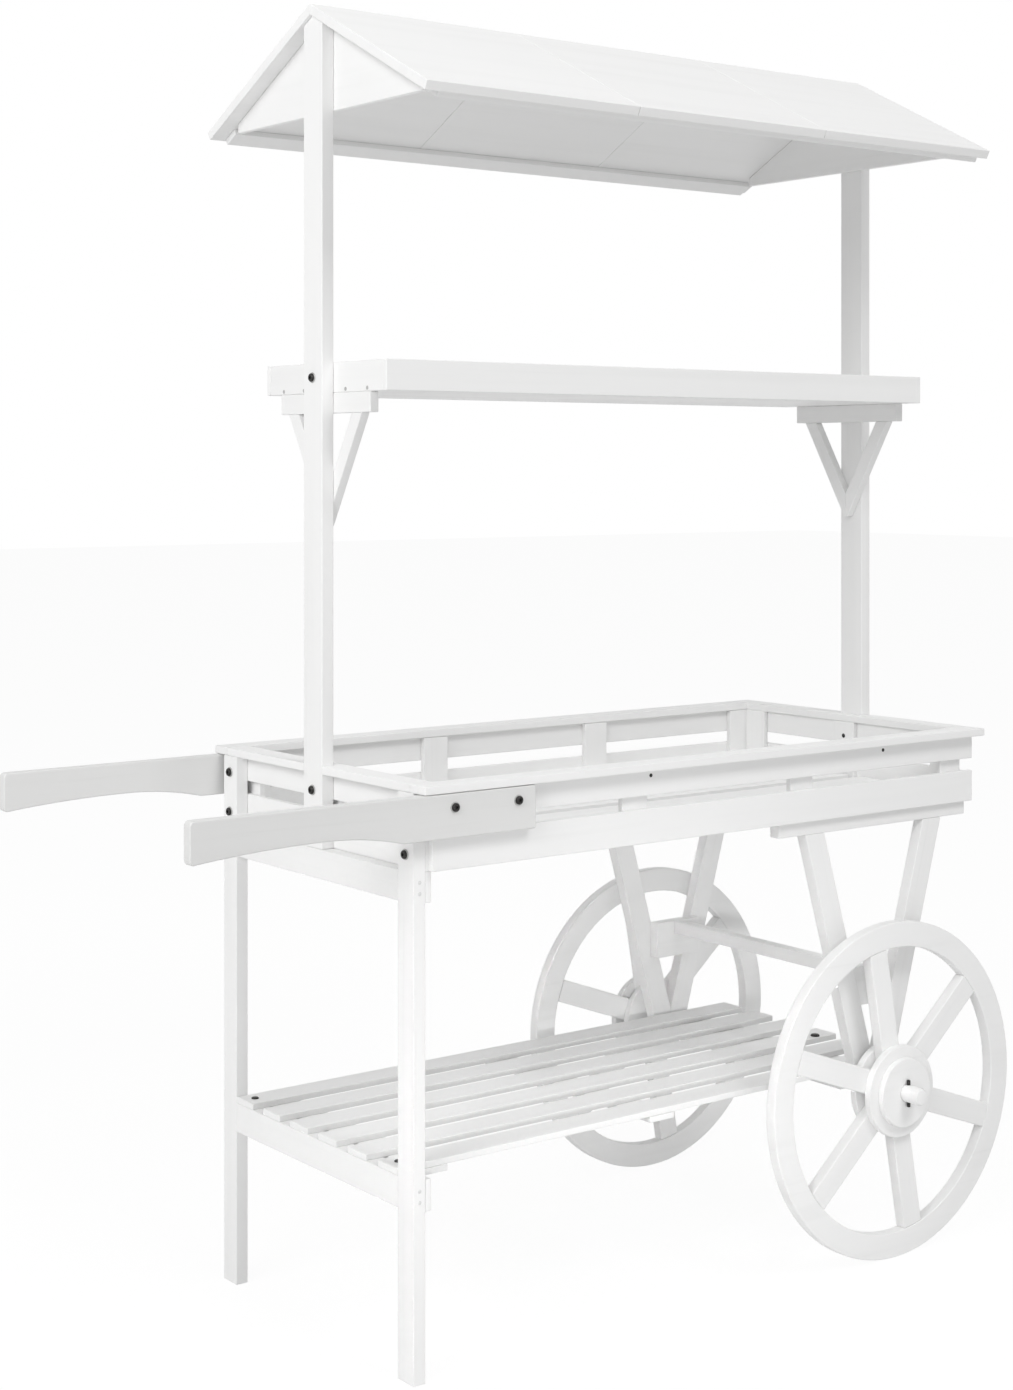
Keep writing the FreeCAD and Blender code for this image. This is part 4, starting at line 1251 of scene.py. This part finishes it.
@dataclass
class Fasteners(CartPart):
    """Bolts with washers and nuts, coach screws, and the heads of nails and screws."""

    zinc: Steel = field(default_factory=lambda: Steel(
        name="zinc_plated_steel", slot="zinc_steel", dark=(0.50, 0.50, 0.49, 1.0),
        rubbed=(0.78, 0.78, 0.77, 1.0), metallic=0.6, roughness=0.30))
    leg_cover: float = 0.88
    tray_cover: float = 0.0
    shelf_cover: float = 0.55
    bolt_radius: float = 0.004
    bolt_head: float = 0.0064
    bolt_height: float = 0.0034
    bolt_rim: float = 0.0012
    crown: float = 0.0046
    crown_steps: int = 5
    socket_width: float = 0.005
    socket_depth: float = 0.0024
    # Depth and half width of the socket's mouth, as shares of the socket's half width
    socket_mouth: Point = (0.1, 1.2)
    # Length of the shank's chamfered end, as a share of its radius
    shank_end: float = 0.25
    nut_width: float = 0.013
    nut_height: float = 0.0065
    # Height over which the nut's corners are cut back, as a share of its height
    nut_cut: float = 0.1
    washer_radius: float = 0.008
    washer_thickness: float = 0.0016
    # Rounding of the washer's edges, as a share of its thickness
    washer_edge: float = 0.3
    bolt_tip: float = 0.002
    hole_gap: float = 0.0003
    screw_cover: float = 0.003
    post_screw_tip: float = 0.001
    tray_rise: float = 0.024
    tray_drop: float = 0.0255
    handle_drop: float = 0.0205
    handle_places: Point = (0.052, 0.165)
    handle_boards: tuple[int, int] = (2, 1)
    # Points of a domed head, as shares of its height and of its radius
    dome: tuple[Point, ...] = ((0.45, 0.98), (0.8, 0.82), (0.96, 0.5))
    nail_radius: float = 0.003
    nail_height: float = 0.0008
    nail_spread: float = 0.016
    screw_drop: float = 0.009
    board_screws: Point = (0.433, 0.941)
    shelf_slat_pitch: float = 0.0587
    # The middle shelf's slats that are nailed, counted from the middle one
    nailed_slats: tuple[int, ...] = (-2, -1, 1, 2)
    slat_half: float = 0.025
    slat_bolt_radius: float = 0.006
    slat_bolt_height: float = 0.0025
    slat_bolt_inset: float = 0.019
    loose_bolt_radius: float = 0.008
    loose_bolt_height: float = 0.004
    loose_bolt: Point = (1.005, -0.0545)
    head_steps: int = 36
    shank_steps: int = 20
    nut_steps: int = 24
    washer_steps: int = 32
    dome_steps: int = 24

    def build(self) -> None:
        """Make every fastener."""
        self.bolts = Joinery("steel_bolts")
        self.washers = Joinery("steel_washers")
        self.nuts = Joinery("steel_nuts")
        self.screws = Joinery("steel_leg_screws")
        self.nails = Joinery("steel_nail_heads")
        self.slat_bolts = Joinery("steel_slat_bolts")
        self.leg_face = node_box("leg_front")[0].x
        self.tray_low = node_box("tray_lower_front")[0].z
        self.tray_high = node_box("tray_upper_front")[1].z
        self.post_bolts()
        self.handle_bolts()
        self.leg_coach_screws()
        self.driven()
        for joinery in (self.bolts, self.screws, self.nails, self.slat_bolts):
            self.shop.hand_over(joinery, Body.CART, self.steel, joinery.name.removeprefix("steel_"))
        for joinery in (self.washers, self.nuts):
            self.shop.hand_over(joinery, Body.CART, self.zinc, joinery.name.removeprefix("steel_"))

    @staticmethod
    def laid(point: Sequence[float], inward: Vector) -> Matrix:
        """The place of a fastener made along +Z, laid inward from a point."""
        turn = Axis.Z.unit.rotation_difference(inward).to_matrix().to_4x4()
        return Matrix.Translation(point) @ turn

    def stud(self, joinery: Joinery, place: Matrix, reach: float) -> None:
        """A low round head with a hexagonal socket, and a shank with a rounded tip.

        Args:
            joinery: The pieces that it joins.
            place: Where it goes, with its washer's inner face at z = 0.
            reach: How far the shank goes.
        """
        seat = -self.washer_thickness
        top = seat - self.bolt_height
        rise = self.bolt_height - self.bolt_rim
        turns = [math.pi / 2 * step / self.crown_steps for step in range(self.crown_steps + 1)]
        crown = [(seat - self.bolt_rim - rise * math.sin(turn),
                  self.crown + (self.bolt_head - self.crown) * math.cos(turn)) for turn in turns]
        half, floor = self.socket_width / 2, top + self.socket_depth
        deep, wide = self.socket_mouth
        socket = [(top, half * wide), (top + half * deep, half), (floor, half)]
        head = [(seat, 0.0), (seat, self.bolt_head), *crown, *socket, (floor, 0.0)]
        six_sided = range(len(head) - 1 - len(socket), len(head) - 1)
        joinery.turned(head, ORIGIN, Axis.Z, self.head_steps, closed=False, place=place, six_sided=six_sided)
        radius, end = self.bolt_radius, self.bolt_radius * self.shank_end
        shank = [(seat, 0.0), (seat, radius), (reach - end, radius), (reach, radius - end), (reach, 0.0)]
        joinery.turned(shank, ORIGIN, Axis.Z, self.shank_steps, closed=False, place=place)

    def nut(self, place: Matrix, low: float) -> None:
        """A hexagonal nut with its corners cut back.

        Args:
            place: Where the bolt goes.
            low: The nut's low face along the bolt.
        """
        half, cut = self.nut_width / 2, self.nut_height * self.nut_cut
        high = low + self.nut_height
        hole = self.bolt_radius + self.hole_gap
        profile = [
            (low, hole), (low, half), (low + cut, half),
            (high - cut, half), (high, half), (high, hole),
        ]
        self.nuts.turned(profile, ORIGIN, Axis.Z, self.nut_steps, place=place, six_sided=(2, 3))

    def washer(self, place: Matrix, low: float) -> None:
        """A flat washer.

        Args:
            place: Where the bolt goes.
            low: The washer's low face along the bolt.
        """
        section = rounded_ring(self.washer_radius, self.bolt_radius + self.hole_gap, low,
                               low + self.washer_thickness, self.washer_thickness * self.washer_edge)
        self.washers.turned(section, ORIGIN, Axis.Z, self.washer_steps, place=place)

    def through_bolt(self, point: Sequence[float], inward: Vector, grip: float) -> None:
        """A bolt with two washers and a nut.

        Args:
            point: Where it enters the wood.
            inward: Its direction.
            grip: The thickness of the boards that it holds.
        """
        place = self.laid(point, inward)
        self.stud(self.bolts, place, grip + self.washer_thickness + self.nut_height + self.bolt_tip)
        self.washer(place, -self.washer_thickness)
        self.washer(place, grip)
        self.nut(place, grip + self.washer_thickness)

    def coach_screw(self, joinery: Joinery, point: Sequence[float], inward: Vector,
                    length: float) -> None:
        """A screw like the bolts, with a washer but no nut.

        Args:
            joinery: The pieces that it joins.
            point: Where it enters the wood.
            inward: Its direction.
            length: How deep it goes.
        """
        place = self.laid(point, inward)
        self.stud(joinery, place, length)
        self.washer(place, -self.washer_thickness)

    def post_bolts(self) -> None:
        """Two coach screws at the foot of each post and a bolt at the middle shelf."""
        shelf_low, shelf_high = node_box("shelf_ends")
        for end in End:
            low, high = node_box(f"post_{end.word}")
            face, thickness = end.outer(low, high), high.x - low.x
            length = thickness + 2 * self.board + self.post_screw_tip
            for z in (self.tray_low + self.tray_rise, self.tray_high - self.tray_drop):
                self.coach_screw(self.bolts, (face, 0.0, z), end.inward, length)
            middle = (shelf_low.z + shelf_high.z) / 2
            self.through_bolt((face, 0.0, middle), end.inward, thickness + self.board)

    def handle_bolts(self) -> None:
        """Two bolts through each handle, of which the first also holds an upright."""
        for side in Side:
            low, high = node_box(f"handle_{side.word}")
            for boards, x in zip(self.handle_boards, self.handle_places):
                point = (self.leg_face + x, side.outer(low, high), self.tray_high - self.handle_drop)
                self.through_bolt(point, side.inward, high.y - low.y + boards * self.board)

    def leg_coach_screws(self) -> None:
        """Two coach screws with washers in each leg."""
        for side in Side:
            low, high = node_box(f"leg_{side.word}")
            length = high.x - low.x + 2 * self.board - self.screw_cover
            for z in (self.tray_low + self.tray_rise, self.tray_high - self.tray_drop):
                self.coach_screw(self.screws, (low.x, (low.y + high.y) / 2, z), Axis.X.unit, length)

    def head(self, joinery: Joinery, point: Sequence[float], inward: Vector, radius: float,
             height: float) -> None:
        """The low domed head of a nail, a screw or a slat's bolt.

        Args:
            joinery: The pieces that it joins.
            point: Where it meets the wood.
            inward: The direction into the wood.
            radius: Its radius.
            height: Its height.
        """
        dome = [(-height * up, radius * out) for up, out in self.dome]
        profile = [(0.0, 0.0), (0.0, radius), *dome, (-height, 0.0)]
        place = self.laid(point, inward)
        joinery.turned(profile, ORIGIN, Axis.Z, self.dome_steps, closed=False, place=place)

    def nail(self, point: Sequence[float], inward: Vector, cover: float) -> None:
        """The head of a nail or a small screw, painted over as far as the cover says."""
        self.nails.cover = cover
        self.head(self.nails, point, inward, self.nail_radius, self.nail_height)

    def driven(self) -> None:
        """Nails and screws in legs, tray and middle shelf, and the lower shelf's bolt heads."""
        for side in Side:
            self.leg_nails(side)
            self.tray_screws(side)
        self.shelf_nails()
        self.slat_bolt_heads()

    def leg_nails(self, side: Side) -> None:
        """Two nails through a leg into the end of each rail.

        Args:
            side: The side of the cart that the leg stands on.
        """
        low, high = node_box(f"leg_{side.word}")
        for rail in ("apron", "lower_rail"):
            rail_low, rail_high = node_box(rail)
            for step in (-0.5, 0.5):
                z = (rail_low.z + rail_high.z) / 2 + step * self.nail_spread
                self.nail(((low.x + high.x) / 2, side.outer(low, high), z), side.inward, self.leg_cover)

    def tray_screws(self, side: Side) -> None:
        """The screws under the tray's rim.

        Args:
            side: The side of the cart.
        """
        face = side.outer(*node_box(f"tray_upper_{side.word}"))
        for x in self.board_screws:
            point = (self.leg_face + x, face, self.tray_high - self.screw_drop)
            self.nail(point, side.inward, self.tray_cover)

    def shelf_nails(self) -> None:
        """A nail through the middle shelf's ends into each slat but the middle one."""
        low, high = node_box("shelf_ends")
        slat_low, slat_high = node_box("shelf_slats")
        z = (slat_low.z + slat_high.z) / 2
        for end in End:
            for index in self.nailed_slats:
                point = (end.outer(low, high), index * self.shelf_slat_pitch, z)
                self.nail(point, end.inward, self.shelf_cover)

    def slat_bolt_heads(self) -> None:
        """A bolt head on each outer slat of the lower shelf, and the loose one."""
        high = node_box("lower_shelf_slats")[1]
        for side in Side:
            point = (self.leg_face + self.slat_bolt_inset, side.sign * (high.y - self.slat_half), high.z)
            self.head(self.slat_bolts, point, -Axis.Z.unit, self.slat_bolt_radius, self.slat_bolt_height)
        x, y = self.loose_bolt
        self.head(self.slat_bolts, (self.leg_face + x, y, high.z), -Axis.Z.unit, self.loose_bolt_radius,
                  self.loose_bolt_height)


# The studio

@dataclass(frozen=True)
class Lamp:
    """A square soft lamp."""

    name: str
    place: Triple
    target: Triple
    size: float
    power: float
    spread: float = 180.0

    def hang(self) -> None:
        """Put the lamp in place, turned to its target."""
        data = bpy.data.lights.new(self.name, "AREA")
        data.shape, data.size, data.energy = "SQUARE", self.size, self.power
        data.spread = math.radians(self.spread)
        lamp = bpy.data.objects.new(self.name, data)
        lamp.location = self.place
        towards = Vector(self.target) - Vector(self.place)
        lamp.rotation_euler = towards.to_track_quat("-Z", "Y").to_euler()
        bpy.context.scene.collection.objects.link(lamp)


@dataclass
class Studio:
    """A white room with soft light, and the camera that took the photograph."""

    eye: Triple = (-2.21465, -2.8712, 1.302)
    heading: float = -37.0
    focal_pixels: float = 2237.0
    image_width: float = 1013.0
    image_height: float = 1390.0
    horizon_row: float = 466.4
    sensor: float = 36.0
    sight: float = 100.0
    white: Colour = (1.0, 1.0, 1.0, 1.0)
    floor_reach: float = 30.0
    floor_colour: Colour = (0.85, 0.85, 0.85, 1.0)
    floor_white: float = 0.90
    floor_glow: float = 1.035
    backdrop: float = 1.0
    sky: float = 0.43
    lamps: tuple[Lamp, ...] = (
        Lamp("left_key", (-6.4, -3.0, 4.2), (0.0, 0.0, 0.7), 3.0, 170.0),
        Lamp("left_fill", (-6.2, -0.5, 4.6), (0.3, 0.0, 0.5), 3.2, 98.0),
        Lamp("front_key", (0.6, -5.8, 7.4), (0.1, 0.0, 0.9), 2.8, 222.0),
        Lamp("low_fill", (-3.6, -4.7, 0.95), (0.45, 0.36, 0.27), 0.4, 0.54, 11.5),
    )

    def build(self) -> None:
        """Make the camera, the floor and the light."""
        self.camera()
        self.floor()
        self.light()

    def camera(self) -> None:
        """The level camera whose lens and shift were fitted to the photograph."""
        data = bpy.data.cameras.new("photo_camera")
        data.sensor_fit = "HORIZONTAL"
        data.sensor_width = self.sensor
        data.lens = self.focal_pixels * self.sensor / self.image_width
        data.shift_y = (self.horizon_row - self.image_height / 2) / self.image_width
        data.clip_end = self.sight
        camera = bpy.data.objects.new("photo_camera", data)
        camera.location = self.eye
        camera.rotation_euler = (math.pi / 2, 0.0, math.radians(self.heading))
        bpy.context.scene.collection.objects.link(camera)
        bpy.context.scene.camera = camera

    @staticmethod
    def seen(graph: Graph, *rays: str) -> Socket:
        """One on rays of the given kinds, else nought.

        Args:
            graph: The graph of the material or world that is seen.
            rays: The kinds of rays.

        Returns:
            The factor.
        """
        factor, *others = (graph.node("ShaderNodeLightPath", output=f"Is {ray} Ray") for ray in rays)
        for other in others:
            factor = graph.node("ShaderNodeMath", {"operation": "ADD", "use_clamp": True},
                                {0: factor, 1: other})
        return factor

    def floor(self) -> None:
        """A pale floor that looks white round the cart and keeps its shadow."""
        mesh = bpy.data.meshes.new("studio_floor")
        turns = ((-1, -1), (1, -1), (1, 1), (-1, 1))
        corners = [(x * self.floor_reach, y * self.floor_reach, 0.0) for x, y in turns]
        mesh.from_pydata(corners, [], [range(len(corners))])
        floor = bpy.data.objects.new("studio_floor", mesh)
        bpy.context.scene.collection.objects.link(floor)
        graph = Graph(bpy.data.materials.new("studio_floor"))
        matte = graph.node("ShaderNodeBsdfDiffuse", {}, {"Color": self.floor_colour})
        glow = graph.node("ShaderNodeEmission", {}, {"Color": self.white, "Strength": self.floor_glow})
        factor = self.seen(graph, "Camera", "Glossy", "Transmission") * self.floor_white
        mix = graph.node("ShaderNodeMixShader", {}, {0: factor, 1: matte, 2: glow})
        mesh.materials.append(graph.finish(mix))

    def light(self) -> None:
        """A white room that looks brighter than it shines, and soft lamps from left and front."""
        graph = Graph(bpy.data.worlds.new("white_room"))
        room, backdrop = (
            graph.node("ShaderNodeBackground", {}, {"Color": self.white, "Strength": strength})
            for strength in (self.sky, self.backdrop))
        factor = self.seen(graph, "Camera", "Glossy")
        mix = graph.node("ShaderNodeMixShader", {}, {0: factor, 1: room, 2: backdrop})
        bpy.context.scene.world = graph.finish(mix)
        for lamp in self.lamps:
            lamp.hang()


def main() -> None:
    """Build the studio and every part of the cart in order."""
    logging.basicConfig(level=logging.INFO, format="%(name)s: %(message)s")
    bpy.context.scene.view_settings.view_transform = "Standard"
    Studio().build()
    shop = Workshop()
    parts: list[CartPart] = [
        EndFrame(shop), Tray(shop), Handles(shop), Undercarriage(shop), Wheel(shop, side=Side.FRONT),
        Wheel(shop, side=Side.BACK), MiddleShelf(shop), Roof(shop), Fasteners(shop),
    ]
    for part in parts:
        part.build()
    log.info("%d pieces", shop.count)


if __name__ == "__main__":
    main()
